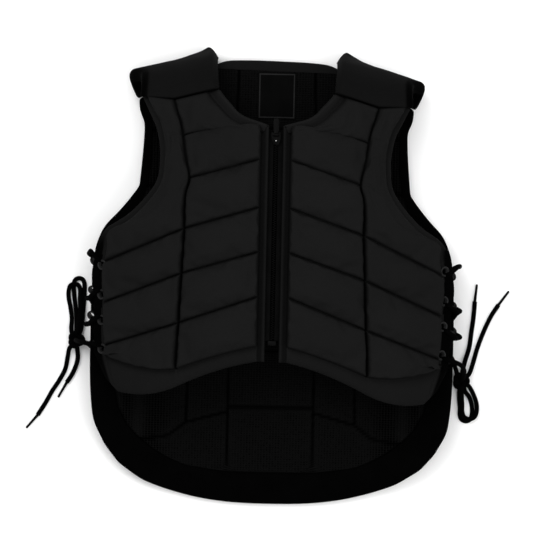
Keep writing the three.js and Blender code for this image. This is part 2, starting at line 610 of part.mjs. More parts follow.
function pullShape() {
  const barrel = new THREE.CylinderGeometry(barrelRadius, barrelRadius, barrelLength, 12);
  barrel.rotateZ(Math.PI / 2);
  const bore = new THREE.CylinderGeometry(boreRadius, boreRadius, pullWidth, 12).rotateZ(Math.PI / 2);
  const w = pullWidth / 2;
  const neck = 0.3 * pullWidth;
  const [foot, widens] = [0.8 * barrelRadius, 0.3 * pullLength];
  const corner = pullWidth / 3;
  const tab = new THREE.Shape();
  tab.moveTo(-neck, foot).lineTo(neck, foot).lineTo(w, widens).lineTo(w, pullLength - corner);
  tab.absarc(w - corner, pullLength - corner, corner, 0, Math.PI / 2, false);
  tab.absarc(-w + corner, pullLength - corner, corner, Math.PI / 2, Math.PI, false);
  tab.lineTo(-w, widens);
  const plate = new THREE.ExtrudeGeometry(tab, {
    depth: pullThickness,
    bevelEnabled: false,
    curveSegments: 3,
  });
  plate.translate(0, 0, -pullThickness / 2);
  return geometryOf(solid(barrel).add(solid(plate)).subtract(solid(bore)));
}

// Assembly.
const vest = new THREE.Group();
function piece(name, geometry, colour, roughness = 0.9, metalness = 0) {
  const material = new THREE.MeshStandardMaterial({ color: colour, roughness, metalness });
  const mesh = new THREE.Mesh(geometry, material);
  mesh.name = name;
  vest.add(mesh);
  return mesh;
}

const back = backPanel();
const lastColumn = back.cover[0].length - 1;
const backStrips = { left: [lastColumn - 1, lastColumn], right: [1, 0] };
let backSolid = solid(solidBetween(back.cover, back.inside));
const metal = 0x3c3c3e;

for (const [name, side] of [["left", 1], ["right", -1]]) {
  const front = frontPanel(side);
  const frontSeats = seats(front.cover, front.normals, [9, 10]);
  const backSeats = seats(back.cover, back.normals, backStrips[name]);
  const frontSolid = frontSeats.reduce(
    (all, e) => all.subtract(solid(eyeletCut(e))),
    solid(solidBetween(front.cover, front.lining)),
  );
  backSolid = backSeats.reduce((all, e) => all.subtract(solid(eyeletCut(e))), backSolid);
  piece(`front_panel_${name}`, lie(geometryOf(frontSolid)), cover);
  piece(`shoulder_piece_${name}`, lie(shoulder(side)), cover);
  frontSeats.forEach((e, i) => piece(`front_eyelet_${name}_${i + 1}`, lie(eyelet(e)), metal, 0.4, 0.9));
  backSeats.forEach((e, i) => piece(`back_eyelet_${name}_${i + 1}`, lie(eyelet(e)), metal, 0.4, 0.9));
  piece(`side_lacing_${name}`, lie(cord(lacing(frontSeats, backSeats, side), 56)), black, 0.8);
  const bow = BOWS[name];
  const lace = (node, points, steps) => piece(node, cord(points.map(vector), steps), black, 0.8);
  const knot = new THREE.SphereGeometry(knotRadius, 10, 7).translate(...bow.knot);
  piece(`bow_knot_${name}`, knot, black, 0.8);
  bow.leads.forEach((points, i) => lace(`bow_lead_${name}_${i + 1}`, points, 6));
  bow.loops.forEach((points, i) => lace(`bow_loop_${name}_${i + 1}`, points, 12));
  bow.tails.forEach((points, i) => {
    lace(`lace_tail_${name}_${i + 1}`, points, 7);
    piece(`aglet_${name}_${i + 1}`, aglet(points, AGLETS[name][i]), black, 0.4);
  });
  const inner = chainWidth / 2 + clearance;
  const tape = ribbon(side * inner, side * (inner + tapeWidth), zipBottom, zipTop, clearance, tapeThickness);
  piece(`zip_tape_${name}`, lie(tape), black, 0.8);
}
piece("back_panel", lie(geometryOf(backSolid)), cover);
piece("back_lining", lie(solidBetween(...back.lining)), black, 0.95);

const labelY = 0.4 * vestLength;
const labelZ = padThickness + clearance + liningThickness + clearance;
const label = new THREE.BoxGeometry(labelWidth, labelHeight, labelThickness);
piece("neck_label", label, black, 0.7).position.set(0, labelY, labelZ + labelThickness / 2);

const chainEnd = zipTop - sliderLength - clearance;
const chainHalf = chainWidth / 2;
const chainTop = clearance - (chainThickness - tapeThickness) / 2;
const chain = ribbon(-chainHalf, chainHalf, zipBottom, chainEnd, chainTop, chainThickness);
piece("zip_chain", chain, black, 0.6);
piece("zip_slider", sliderShape(), black, 0.5, 0.4);
const pull = piece("zip_pull", pullShape(), black, 0.5, 0.4);
pull.position.copy(hinge);
const stop = new THREE.BoxGeometry(stopWidth, stopLength, stopHeight);
const stopY = zipBottom - clearance - stopLength / 2;
const stopZ = zipHeight(zipBottom) - clearance - tapeThickness / 2;
piece("zip_stop", stop, black, 0.5, 0.4).position.set(0, stopY, stopZ);

export default vest;
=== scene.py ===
import math

import bmesh
import bpy
import numpy as np
from bpy.props import FloatProperty, FloatVectorProperty, IntProperty, PointerProperty
from mathutils import Matrix, Vector, noise


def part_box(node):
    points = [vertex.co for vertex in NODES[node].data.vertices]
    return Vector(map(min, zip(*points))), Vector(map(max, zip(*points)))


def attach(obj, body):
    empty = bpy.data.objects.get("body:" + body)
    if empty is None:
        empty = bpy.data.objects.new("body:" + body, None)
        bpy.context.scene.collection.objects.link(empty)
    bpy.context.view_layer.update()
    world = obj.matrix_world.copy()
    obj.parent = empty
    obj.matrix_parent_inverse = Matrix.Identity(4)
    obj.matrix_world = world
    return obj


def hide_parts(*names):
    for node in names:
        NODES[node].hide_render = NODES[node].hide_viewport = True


bl_info = {
    "name": "Riding body protector",
    "version": (1, 0, 0),
    "blender": (4, 5, 0),
    "location": "3D View > Sidebar > Vest",
    "description": "Builds a padded riding vest, laced at its sides, around its packed model",
    "category": "Add Mesh",
}

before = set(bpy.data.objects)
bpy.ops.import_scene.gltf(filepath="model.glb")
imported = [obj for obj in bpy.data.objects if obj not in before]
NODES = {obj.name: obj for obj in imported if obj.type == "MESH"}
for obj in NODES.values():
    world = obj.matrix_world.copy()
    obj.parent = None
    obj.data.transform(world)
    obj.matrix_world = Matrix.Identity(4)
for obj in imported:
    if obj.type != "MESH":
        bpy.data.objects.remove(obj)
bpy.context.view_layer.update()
MM = 0.001
BODY = "vest"
MERGE = 2e-6
SIDES = (("left", 1), ("right", -1))

# Sizes of the vest that its shape hangs on, in metres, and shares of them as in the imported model.
HALF = 190 * MM
LENGTH = 478 * MM
PAD = 18 * MM
CROWN = 1.5 * MM
CHEST_Z = 108.5 * MM
CHEST = 0.16
NECK_DROP = 20 * MM
HEM_DROP = 5 * MM
SIDE_DROP = 51 * MM
SIDE_FALL = 2.2
LEAN = 0.022
ZIP_HALF = 7 * MM
ZIP_MARGIN = 8 * MM
NECK_MARGIN = 11 * MM
SIDE_STRIP = 14 * MM
ARM_MARGIN = 7 * MM
EDGE_WALL = 5 * MM
SEAM_FLOOR = 8 * MM
CHANNEL_FLOOR = 5 * MM
SEAM_GAP = 0.3 * MM
STRAP_PAD = 13 * MM
JOIN_FLOOR = 14 * MM
SHOULDER = dict(
    neck_reach=0.505, arm_reach=0.452, flare=0.06, back_neck=(0.3, 0.477), back_arm=(0.758, 0.381))

# Rows of the fronts, hem to shoulder: points beside the zip and neck, on the channel and on the side or
# armhole, how much the row bows on each side of the channel, and which columns a seam parts there.
FRONT_ROWS = [
    dict(inner=(0, -0.186), channel=(0.511, -0.247), edge=(0.905, -0.236), bow=(0.007, -0.012), seam="rim"),
    dict(inner=(0, -0.151), channel=(0.511, -0.209), edge=(0.953, -0.197), bow=(0.004, -0.012), seam="both"),
    dict(inner=(0, -0.042), channel=(0.5, -0.107), edge=(0.97, -0.167), bow=(0, 0), seam="both"),
    dict(inner=(0, 0.056), channel=(0.489, 0.002), edge=(0.979, -0.071), bow=(0, 0), seam="both"),
    dict(inner=(0, 0.153), channel=(0.479, 0.1), edge=(0.979, 0.026), bow=(0, 0), seam="both"),
    dict(inner=(0, 0.192), channel=(0.479, 0.142), edge=(0.921, 0.092), bow=(0, 0), seam="none"),
    dict(inner=(0, 0.218), channel=(0.474, 0.17), edge=(0.8, 0.125), bow=(0, 0), seam="none"),
    dict(inner=(0, 0.251), channel=(0.458, 0.205), edge=(0.663, 0.188), bow=(0, 0), seam="inner"),
    dict(inner=(0, 0.295), channel=(0.48, 0.25), edge=(0.632, 0.245), bow=(0, 0), seam="none"),
    dict(inner=(0, 0.331), channel=(0.495, 0.295), edge=(0.642, 0.295), bow=(0.008, 0), seam="inner"),
    dict(inner=(0.174, 0.349), channel=(0.505, 0.318), edge=(0.66, 0.322), bow=(0, 0), seam="none"),
    dict(inner=(0.258, 0.381), channel=(0.521, 0.343), edge=(0.689, 0.346), bow=(0, 0), seam="none"),
    dict(inner=(0.316, 0.408), channel=(0.547, 0.381), edge=(0.732, 0.383), bow=(0, 0), seam="join"),
]

# Rows of the back, tail to neck: height at the middle, how far the line drops beside it, point on the side or
# armhole, width of the border there in millimetres, and which rows are sewn across.
BACK_ROWS = [
    dict(y=-0.5, bend=0, edge=(0.832, -0.416), band=32, seam="rim"),
    dict(y=-0.431, bend=0, edge=(0.921, -0.372), band=32, seam="both"),
    dict(y=-0.287, bend=0.035, edge=(0.984, -0.31), band=32, seam="both"),
    dict(y=-0.164, bend=0.035, edge=(1, -0.206), band=22, seam="both"),
    dict(y=-0.041, bend=0.035, edge=(1, -0.083), band=14, seam="both"),
    dict(y=0.082, bend=0.035, edge=(0.985, 0.04), band=14, seam="both"),
    dict(y=0.14, bend=0.025, edge=(0.94, 0.097), band=14, seam="none"),
    dict(y=0.175, bend=0.02, edge=(0.842, 0.141), band=7, seam="none"),
    dict(y=0.205, bend=0.02, edge=(0.747, 0.196), band=7, seam="both"),
    dict(y=0.328, bend=0.015, edge=(0.726, 0.318), band=7, seam="both"),
    dict(y=0.454, bend=0, edge=(0.755, 0.362), band=7, seam="neck"),
    dict(y=0.477, bend=0, edge=(0.758, 0.381), band=7, seam="join"),
]
NECK_CORNER = (0.295, 0.473)
BACK_SEAM = 44.65 * MM

# Laces of the bows, in millimetres, as they lie.
BOWS = {
    "right": dict(
        knot=(-206, -70, 9),
        leads=[
            [(-183.9, -74.1, 70.1), (-187.5, -73.6, 73.5), (-193.5, -73, 72.5), (-199.5, -72, 65),
             (-203.5, -71, 53), (-205.5, -70.5, 39), (-206, -70, 26), (-206, -70, 16.4)],
            [(-186.5, -76.8, 30), (-189.3, -76.8, 26.5), (-193.9, -73.6, 17.2), (-199.7, -71.5, 12.6)],
        ],
        loops=[
            [(-202.9, -63.9, 8.3), (-200.8, -57.4, 7.4), (-199.2, -36, 4), (-198.6, -22, 2.5),
             (-198.7, -10.5, 2.3), (-200.3, -6.6, 2.3), (-204.2, -5, 2.3), (-208.1, -6.6, 2.3),
             (-209.7, -10.5, 2.3), (-209.4, -20, 2.3), (-207.9, -32, 2.5), (-206.1, -46, 4),
             (-206.1, -62.8, 7.5)],
            [(-205.4, -64.4, 13.9), (-205.2, -60.8, 16.2), (-203.9, -53, 14), (-202.3, -38, 9.5),
             (-202.9, -26, 7.5), (-202.9, -17, 7.3), (-204.6, -12.8, 7.2), (-208.8, -11.1, 7.1), (-213, -12.8, 6),
             (-214.7, -17, 4.8), (-214.9, -25, 3.5), (-212.9, -35, 3), (-211, -48, 5), (-211.4, -57, 8.8),
             (-210.7, -62.4, 11), (-208.9, -65.4, 10.5)],
        ],
        tails=[
            [(-210.4, -75.8, 8.3), (-212.9, -79.1, 7.6), (-214.6, -88, 4), (-217, -101, 2.3),
             (-223, -113, 2.3), (-230, -124, 2.3), (-237, -137, 2.3), (-245, -150, 2.3)],
            [(-204.9, -77.2, 7.9), (-204, -89, 4.5), (-206, -98, 2.4), (-210, -107, 2.3), (-215, -115, 2.3)],
        ],
    ),
    "left": dict(
        knot=(200, -105, 9),
        leads=[
            [(183.9, -82.1, 70.1), (187.5, -83, 73.5), (193, -85, 73), (199, -88, 66), (202, -92, 54),
             (203, -97, 40), (202, -101.5, 27), (200.7, -103.9, 16.3)],
            [(186.5, -79.1, 30), (188.7, -79.7, 27), (191.5, -84.5, 22), (194, -92, 17), (196.7, -99.4, 12.6)],
        ],
        loops=[
            [(199.7, -111.5, 8.3), (198.7, -115.2, 7.6), (198.8, -124, 5.8), (199.8, -133, 3.5),
             (199.9, -141, 2.5), (201.7, -145.4, 2.3), (206.1, -147.2, 2.3), (210.5, -145.4, 2.3),
             (212.3, -141, 2.3), (212.2, -131, 2.5), (209.1, -121.5, 4.5), (204.5, -115.6, 6.7),
             (203.6, -111.8, 7.5)],
            [(201.1, -110.2, 14.2), (200.8, -113.3, 16.2), (201.2, -122, 13.8), (201.8, -130, 10.5),
             (202.1, -137.5, 8.8), (204.3, -142.8, 7.8), (209.6, -145, 7.2), (214.9, -142.8, 6.6),
             (217.1, -137.5, 6), (217, -129, 5.6), (213.1, -118, 9), (208.6, -110.4, 12.4), (206, -108.3, 11.2)],
        ],
        tails=[
            [(200.8, -97.7, 7.9), (204, -84, 4), (208, -70, 2.4), (210, -54, 2.3), (212, -37, 2.3),
             (213, -21, 2.3)],
            [(205.6, -100.4, 7.5), (208.4, -97.6, 6.7), (212.4, -86, 3.6), (217, -69, 2.3), (224, -50, 2.3),
             (231, -35, 2.3), (238, -24, 2.3)],
        ],
    ),
}

# The sewn lines of the mesh lining, in millimetres, for the side at +X, and its half width along the vest.
LINING_SEAMS = [
    [(45, -205), (45, -109), (44, 0), (42, 150), (40, 220)],
    [(0, -137), (45, -137)],
    [(45, -142), (89, -154), (107, -168), (150, -176)],
    [(89, -154), (88, -120), (88, -60)],
    [(0, -78), (45, -78), (110, -92), (178, -98)],
    [(0, -20), (45, -20), (110, -36), (178, -40)],
    [(0, 39), (45, 39), (110, 24), (178, 19)],
    [(0, 98), (45, 98), (135, 92)],
    [(0, 157), (45, 157), (132, 150)],
]
LINING_EDGE = [
    (-206, 30), (-203.5, 60), (-199, 90), (-192, 107), (-183, 123), (-170, 140), (-157, 152), (-140, 161),
    (-100, 169), (-40, 176), (10, 176), (40, 168), (60, 152), (72, 142), (92, 135), (120, 131), (150, 131),
    (170, 134), (190, 137),
]
NECK_FACING_Y = 217
LINING_STEP = 2.4 * MM
LINING_COLUMNS = 181

# How a front's cover is divided: stations close beside a seam, places across its margins, steps across its
# blocks, the first row of its narrow blocks and the first beside the neck, and the fold along the zip.
NEAR_SEAM = [0.8 * MM, 1.8 * MM, 3.6 * MM]
MARGIN_PLACES = [0, 0.18, 0.36, 0.58, 0.8, 1]
BLOCK_STEPS = dict(inner=18, outer=19)
NARROW_ROW = 7
NECK_ROW = 9
ZIP_FOLD = 1.9 * MM
THIN_WALL = EDGE_WALL + 1 * MM

# The shoulder's width and length, for its rounded ends, and each edge's height and rounding in that order.
SHOULDER_WIDTH = 95 * MM
SHOULDER_LENGTH = 120 * MM
SHOULDER_EDGES = dict(neck=(6 * MM, 6 * MM), arm=(9.5 * MM, 4 * MM), front=(JOIN_FLOOR, 3 * MM),
                      back=(SEAM_FLOOR, 5 * MM))
FLOOR_GAP = 0.3 * MM
KNOT_RADIUS = 9.4 * MM
LACE_STEP = 1.5 * MM


class VestSizes(bpy.types.PropertyGroup):
    """Sizes of the sewn details"""
    lace: FloatProperty(name="Lace", description="Diameter of the laces", default=4.8 * MM, unit="LENGTH")
    seam_round: FloatProperty(
        name="Block edge", description="Radius of a block's edge beside a seam", default=3.4 * MM, unit="LENGTH")
    pucker: FloatProperty(name="Pucker", description="Depth of the gathers", default=0.8 * MM, unit="LENGTH")
    grid: FloatProperty(name="Grid", description="Step of the padded meshes", default=4.2 * MM, unit="LENGTH")
    puff: FloatProperty(name="Puff", description="How far a block may swell", default=2.2 * MM, unit="LENGTH")
    tooth_pitch: FloatProperty(
        name="Tooth pitch", description="From one zip tooth to the next on its side", default=2.4 * MM,
        unit="LENGTH")
    ring_sides: IntProperty(name="Ring sides", description="Sides of an eyelet", default=40, min=16, max=96)


class VestColours(bpy.types.PropertyGroup):
    """Colours of the vest's finishes"""
    cover: FloatVectorProperty(
        name="Cover", description="Charcoal nylon of the blocks", subtype="COLOR",
        default=(0.0066, 0.0066, 0.0066))
    lining: FloatVectorProperty(
        name="Lining", description="Black knitted mesh", subtype="COLOR", default=(0.0004, 0.0004, 0.0004))
    tape: FloatVectorProperty(
        name="Tape", description="Black woven tape", subtype="COLOR", default=(0.0007, 0.0007, 0.0007))
    lace: FloatVectorProperty(
        name="Lace", description="Black braided lace", subtype="COLOR", default=(0.0006, 0.0006, 0.0006))
    border: FloatVectorProperty(
        name="Label border", description="Grey thread of the label", subtype="COLOR",
        default=(0.0125, 0.0125, 0.0125))
    eyelet: FloatVectorProperty(
        name="Eyelets", description="Dull gunmetal", subtype="COLOR", default=(0.017, 0.017, 0.017))


class VestStage(bpy.types.PropertyGroup):
    """Camera and light"""
    view_width: FloatProperty(
        name="View width", description="Width of the picture at the vest", default=559.65 * MM, unit="LENGTH")
    view_centre: FloatVectorProperty(
        name="View centre", description="Middle of the picture", subtype="TRANSLATION",
        default=(-7.2 * MM, 11.4 * MM, 60 * MM))
    roll: FloatProperty(name="Roll", description="Turn of the camera", subtype="ANGLE", default=math.radians(1.2))
    height: FloatProperty(name="Height", description="Camera above the floor", default=16.0, unit="LENGTH")
    floor: FloatVectorProperty(name="Floor", description="Floor", subtype="COLOR", default=(0.9, 0.9, 0.9))


def sizes():
    return bpy.context.scene.vest_sizes


def colours():
    return bpy.context.scene.vest_colours


# Materials.
def new_material(name, colour, roughness=0.85, specular=0.05, metallic=0.0):
    """A material and its shader, with the values that are the same all over set on its sockets."""
    made = bpy.data.materials.new(name)
    made.use_nodes = True
    made.diffuse_color = (*colour, 1)
    shader = made.node_tree.nodes["Principled BSDF"]
    shader.inputs["Base Color"].default_value = (*colour, 1)
    shader.inputs["Roughness"].default_value = roughness
    shader.inputs["Specular IOR Level"].default_value = specular
    shader.inputs["Metallic"].default_value = metallic
    return made, shader


class Nodes:
    """Short calls for a material's node tree."""

    def __init__(self, made, coordinates="Object"):
        self.tree = made.node_tree
        self.place = self.tree.nodes.new("ShaderNodeTexCoord").outputs[coordinates]

    def add(self, kind, **inputs):
        node = self.tree.nodes.new("ShaderNode" + kind)
        for name, value in inputs.items():
            socket = node.inputs[name.replace("_", " ")]
            if isinstance(value, bpy.types.NodeSocket):
                self.tree.links.new(value, socket)
            else:
                socket.default_value = value
        return node

    def scaled(self, x, y, z):
        return self.add("Mapping", Vector=self.place, Scale=(x, y, z)).outputs["Vector"]

    def math(self, operation, a, b=0.0, c=0.0):
        node = self.tree.nodes.new("ShaderNodeMath")
        node.operation = operation
        for socket, value in zip(node.inputs, (a, b, c)):
            if isinstance(value, bpy.types.NodeSocket):
                self.tree.links.new(value, socket)
            else:
                socket.default_value = value
        return node.outputs[0]

    def noise(self, scale, detail=3.0, place=None):
        return self.add("TexNoise", Vector=place or self.place, Scale=scale, Detail=detail).outputs["Fac"]

    def wave(self, pitch, direction):
        """Threads side by side: a wave at scale 1 repeats every 0.314 m."""
        node = self.add("TexWave", Vector=self.place, Scale=0.314 / pitch)
        node.bands_direction = direction
        node.wave_profile = "SIN"
        return node.outputs["Fac"]

    def ramp(self, value, dark, light):
        node = self.add("ValToRGB", Fac=value)
        node.color_ramp.elements[0].color = (*dark, 1)
        node.color_ramp.elements[1].color = (*light, 1)
        return node.outputs["Color"]

    def by_tone(self, colour):
        """The colour times the tone that the mesh carries, which paints light and shade into it."""
        read = self.tree.nodes.new("ShaderNodeAttribute")
        read.attribute_name = "tone"
        mix = self.tree.nodes.new("ShaderNodeMix")
        mix.data_type, mix.blend_type = "RGBA", "MULTIPLY"
        mix.inputs[0].default_value = 1
        self.tree.links.new(colour, mix.inputs[6])
        self.tree.links.new(read.outputs["Color"], mix.inputs[7])
        return mix.outputs[2]

    def bump(self, shader, heights):
        """Bumps on the shader, each a height value, its strength and its depth in metres."""
        last = None
        for value, strength, depth in heights:
            node = self.add("Bump", Height=value, Strength=strength, Distance=depth)
            if last:
                self.tree.links.new(last, node.inputs["Normal"])
            last = node.outputs["Normal"]
        self.tree.links.new(last, shader.inputs["Normal"])

    def colour(self, shader, socket):
        self.tree.links.new(socket, shader.inputs["Base Color"])


def shade(colour, by):
    return tuple(c * by for c in colour)


def toned(piece, tones):
    """Stores how light the cloth is at each point, as painted light and shade: 1 on a block, less as painted
    shade where it is sewn down into a groove, and less where it is turned under.
    """
    layer = piece.data.attributes.new("tone", "FLOAT", "POINT")
    layer.data.foreach_set("value", np.array(tones, dtype=np.float32))


def woven_cover(name="charcoal_nylon"):
    """Plain-woven nylon: a fine basket of threads, faint slubs, and the painted shade and highlights of the
    mesh's tone along the seams and folds.
    """
    if name in bpy.data.materials:
        return bpy.data.materials[name]
    base = tuple(colours().cover)
    made, shader = new_material(name, base, roughness=0.85, specular=0.012)
    t = Nodes(made)
    warp = t.wave(0.9 * MM, "X")
    weft = t.wave(0.9 * MM, "Y")
    threads = t.math("MULTIPLY", warp, weft)
    slubs = t.noise(260, 2, t.scaled(1, 5, 1))
    tone = t.noise(14, 3)
    mottle = t.math("ADD", t.math("MULTIPLY", tone, 0.55), t.math("MULTIPLY", slubs, 0.45))
    t.colour(shader, t.by_tone(t.ramp(mottle, shade(base, 0.72), shade(base, 1.3))))
    t.bump(shader, [(tone, 0.25, 1.5 * MM), (threads, 0.5, 0.22 * MM), (slubs, 0.3, 0.15 * MM)])
    return made


def knitted_mesh(name="black_mesh"):
    """Spacer mesh: rows of small round holes, each row set half a step aside."""
    if name in bpy.data.materials:
        return bpy.data.materials[name]
    base = tuple(colours().lining)
    made, shader = new_material(name, base, roughness=0.8, specular=0.003)
    t = Nodes(made)
    cells = t.add("TexVoronoi", Vector=t.scaled(1, 1.25, 0.4), Scale=330, Randomness=0.1)
    holes = t.math("MULTIPLY_ADD", cells.outputs["Distance"], 4.0, -1.0)
    tone = t.noise(30, 2)
    lit = t.math("ADD", holes, t.math("MULTIPLY", tone, 0.25))
    t.colour(shader, t.by_tone(t.ramp(lit, shade(base, 0.05), shade(base, 7.5))))
    t.bump(shader, [(tone, 0.3, 1.2 * MM), (holes, 0.9, 0.8 * MM)])
    return made


def plain_black(name="black_facing", base=None, pitch=0.7 * MM):
    """Smooth black facing cloth and tape with a fine weave."""
    if name in bpy.data.materials:
        return bpy.data.materials[name]
    base = base or tuple(colours().tape)
    made, shader = new_material(name, base, roughness=0.8, specular=0.002)
    t = Nodes(made)
    threads = t.math("MULTIPLY", t.wave(pitch, "X"), t.wave(pitch, "Y"))
    tone = t.noise(45, 3)
    t.colour(shader, t.ramp(tone, shade(base, 0.6), shade(base, 1.5)))
    t.bump(shader, [(tone, 0.3, 1.0 * MM), (threads, 0.5, 0.15 * MM)])
    return made


def braided_lace(name="black_lace"):
    """Round braid: two sets of threads that cross on the slant, laid by the lace's own map."""
    if name in bpy.data.materials:
        return bpy.data.materials[name]
    base = tuple(colours().lace)
    made, shader = new_material(name, base, roughness=0.75, specular=0.004)
    t = Nodes(made, "UV")
    threads = [t.add("TexWave", Vector=t.scaled(way, 1, 1), Scale=1.6) for way in (1, -1)]
    for thread in threads:
        thread.bands_direction = "DIAGONAL"
    braid = t.math("MAXIMUM", *(thread.outputs["Fac"] for thread in threads))
    t.colour(shader, t.ramp(braid, shade(base, 0.5), shade(base, 1.8)))
    t.bump(shader, [(braid, 0.7, 0.25 * MM)])
    return made


def dull_metal(name, base, roughness=0.42):
    """Lacquered metal, scuffed in small spots."""
    if name in bpy.data.materials:
        return bpy.data.materials[name]
    made, shader = new_material(name, base, roughness=roughness, specular=0.03, metallic=0.15)
    t = Nodes(made)
    scuffs = t.noise(700, 4)
    t.colour(shader, t.ramp(scuffs, shade(base, 0.6), shade(base, 1.35)))
    t.bump(shader, [(scuffs, 0.15, 0.1 * MM)])
    return made


def moulded_plastic(name="black_plastic", base=(0.0012, 0.0012, 0.0012)):
    """Black plastic with a very fine grain."""
    if name in bpy.data.materials:
        return bpy.data.materials[name]
    made, shader = new_material(name, base, roughness=0.45, specular=0.02)
    t = Nodes(made)
    grain = t.noise(900, 3)
    t.colour(shader, t.ramp(grain, shade(base, 0.7), shade(base, 1.3)))
    t.bump(shader, [(grain, 0.2, 0.08 * MM)])
    return made


# Pieces.
def finish_piece(piece, slot, *replaced, body=BODY):
    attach(piece, body)
    if replaced:
        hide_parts(*replaced)
    return piece


def select_only(piece):
    bpy.ops.object.select_all(action="DESELECT")
    piece.select_set(True)
    bpy.context.view_layer.objects.active = piece


def modified(piece, kind, **settings):
    """Adds a modifier with these settings and applies it."""
    modifier = piece.modifiers.new(kind.title(), kind)
    for name, value in settings.items():
        setattr(modifier, name, value)
    select_only(piece)
    bpy.ops.object.modifier_apply(modifier=modifier.name)


def added(shape, **sizes_and_place):
    """A new primitive, alone in the selection."""
    bpy.ops.object.select_all(action="DESELECT")
    getattr(bpy.ops.mesh, f"primitive_{shape}_add")(**sizes_and_place)
    return bpy.context.object


def joined(whole, part):
    """The part made one piece with the whole."""
    select_only(whole)
    part.select_set(True)
    bpy.ops.object.join()
    return whole


def linked(name, data):
    """A new object of the scene that holds the data."""
    made = bpy.data.objects.new(name, data)
    bpy.context.scene.collection.objects.link(made)
    return made


def mesh_piece(name, points, faces, *materials, uvs=None):
    mesh = bpy.data.meshes.new(name)
    mesh.from_pydata([tuple(p) for p in points], [], faces)
    for material in materials:
        mesh.materials.append(material)
    if uvs is not None:
        layer = mesh.uv_layers.new(name="UVMap")
        for loop in mesh.loops:
            layer.data[loop.index].uv = uvs[loop.vertex_index]
    piece = linked(name, mesh)
    mesh.validate()
    mesh.shade_smooth()
    return piece


def face_out(piece):
    shape = bmesh.new()
    shape.from_mesh(piece.data)
    bmesh.ops.recalc_face_normals(shape, faces=shape.faces)
    shape.to_mesh(piece.data)
    shape.free()


def shell_faces(rows, columns):
    """Quads of a closed shell between two grids of the same size, the first the outer one."""
    def at(r, c):
        return r * columns + c

    def under(r, c):
        return rows * columns + at(r, c)
    faces = []
    last_row, last = rows - 1, columns - 1
    for r in range(last_row):
        for c in range(last):
            faces.append((at(r, c), at(r, c + 1), at(r + 1, c + 1), at(r + 1, c)))
            faces.append((under(r, c), under(r + 1, c), under(r + 1, c + 1), under(r, c + 1)))
    for c in range(last):
        faces.append((at(0, c), under(0, c), under(0, c + 1), at(0, c + 1)))
        faces.append((at(last_row, c + 1), under(last_row, c + 1), under(last_row, c), at(last_row, c)))
    for r in range(last_row):
        faces.append((at(r + 1, 0), under(r + 1, 0), under(r, 0), at(r, 0)))
        faces.append((at(r, last), under(r, last), under(r + 1, last), at(r + 1, last)))
    return faces


def flat_list(rows):
    return [value for row in rows for value in row]


def shell_piece(name, outer, inner, *materials, tones=None):
    """A closed piece between two grids of points, with how light its cloth is where that is given."""
    faces = shell_faces(len(outer), len(outer[0]))
    piece = mesh_piece(name, flat_list(outer) + flat_list(inner), faces, *materials)
    if tones is not None:
        toned(piece, tones)
    face_out(piece)
    return piece


def model_copy(node, name, material):
    """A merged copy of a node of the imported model, its triangles joined to quads."""
    mesh = NODES[node].data.copy()
    mesh.materials.clear()
    mesh.materials.append(material)
    piece = linked(name, mesh)
    shape = bmesh.new()
    shape.from_mesh(mesh)
    bmesh.ops.remove_doubles(shape, verts=shape.verts, dist=MERGE)
    bmesh.ops.join_triangles(
        shape, faces=shape.faces, angle_face_threshold=math.radians(35), angle_shape_threshold=math.radians(50),
        cmp_seam=False, cmp_sharp=False, cmp_uvs=False, cmp_vcols=False, cmp_materials=False)
    shape.to_mesh(mesh)
    shape.free()
    mesh.shade_smooth()
    return piece


def faces_by(piece, choose):
    """Gives each face the material that choose names for its middle and normal."""
    for face in piece.data.polygons:
        face.material_index = choose(face.center, face.normal)


def points_of(mesh):
    points = np.empty(len(mesh.vertices) * 3, dtype=np.float32)
    mesh.vertices.foreach_get("co", points)
    return points.reshape(-1, 3)


def place_points(piece, points):
    piece.data.vertices.foreach_set("co", np.array(points, dtype=np.float32).ravel())
    piece.data.update()


# Fronts.
def smooth(t):
    t = min(1.0, max(0.0, t))
    return t * t * (3 - 2 * t)


def front_lining(x, y):
    """Height of the inside of the fronts: highest at the chest, falling to the sides, neck and hem."""
    chest_y = CHEST * LENGTH
    to_neck = smooth((y - chest_y) / (FRONT_ROWS[-1]["edge"][1] * LENGTH - chest_y))
    to_hem = smooth((chest_y - y) / (chest_y - FRONT_ROWS[0]["channel"][1] * LENGTH))
    return CHEST_Z - SIDE_DROP * (abs(x) / HALF) ** SIDE_FALL - NECK_DROP * to_neck - HEM_DROP * to_hem


def front_normal(x, y):
    d = 1 * MM
    slope_x = (front_lining(x + d, y) - front_lining(x - d, y)) / (2 * d)
    slope_y = (front_lining(x, y + d) - front_lining(x, y - d)) / (2 * d)
    return Vector((-slope_x, -slope_y, 1)).normalized()


def spread(fixed, step):
    """The fixed values with even ones between them, no further apart than step."""
    out = [fixed[0]]
    for a, b in zip(fixed, fixed[1:]):
        count = max(1, math.ceil((b - a) / step))
        out += [a + (b - a) * k / count for k in range(1, count + 1)]
    return out


def beside(values, low, high):
    """The values with others set close on both sides of each, for a narrow fold."""
    out = set(values) | {low, high}
    for v in values:
        out |= {v + s * d for s in (1, -1) for d in NEAR_SEAM if low < v + s * d < high}
    return sorted(out)


def level_slopes(stations, rows):
    """Slopes at the rows that never carry a curve past its own rows."""
    steps = np.diff(rows, axis=0) / np.diff(stations).reshape(-1, *[1] * (rows.ndim - 1))
    slopes = np.zeros_like(rows)
    slopes[0], slopes[-1] = steps[0], steps[-1]
    a, b = steps[:-1], steps[1:]
    same = a * b > 0
    slopes[1:-1][same] = (2 * a * b)[same] / (a + b)[same]
    return slopes


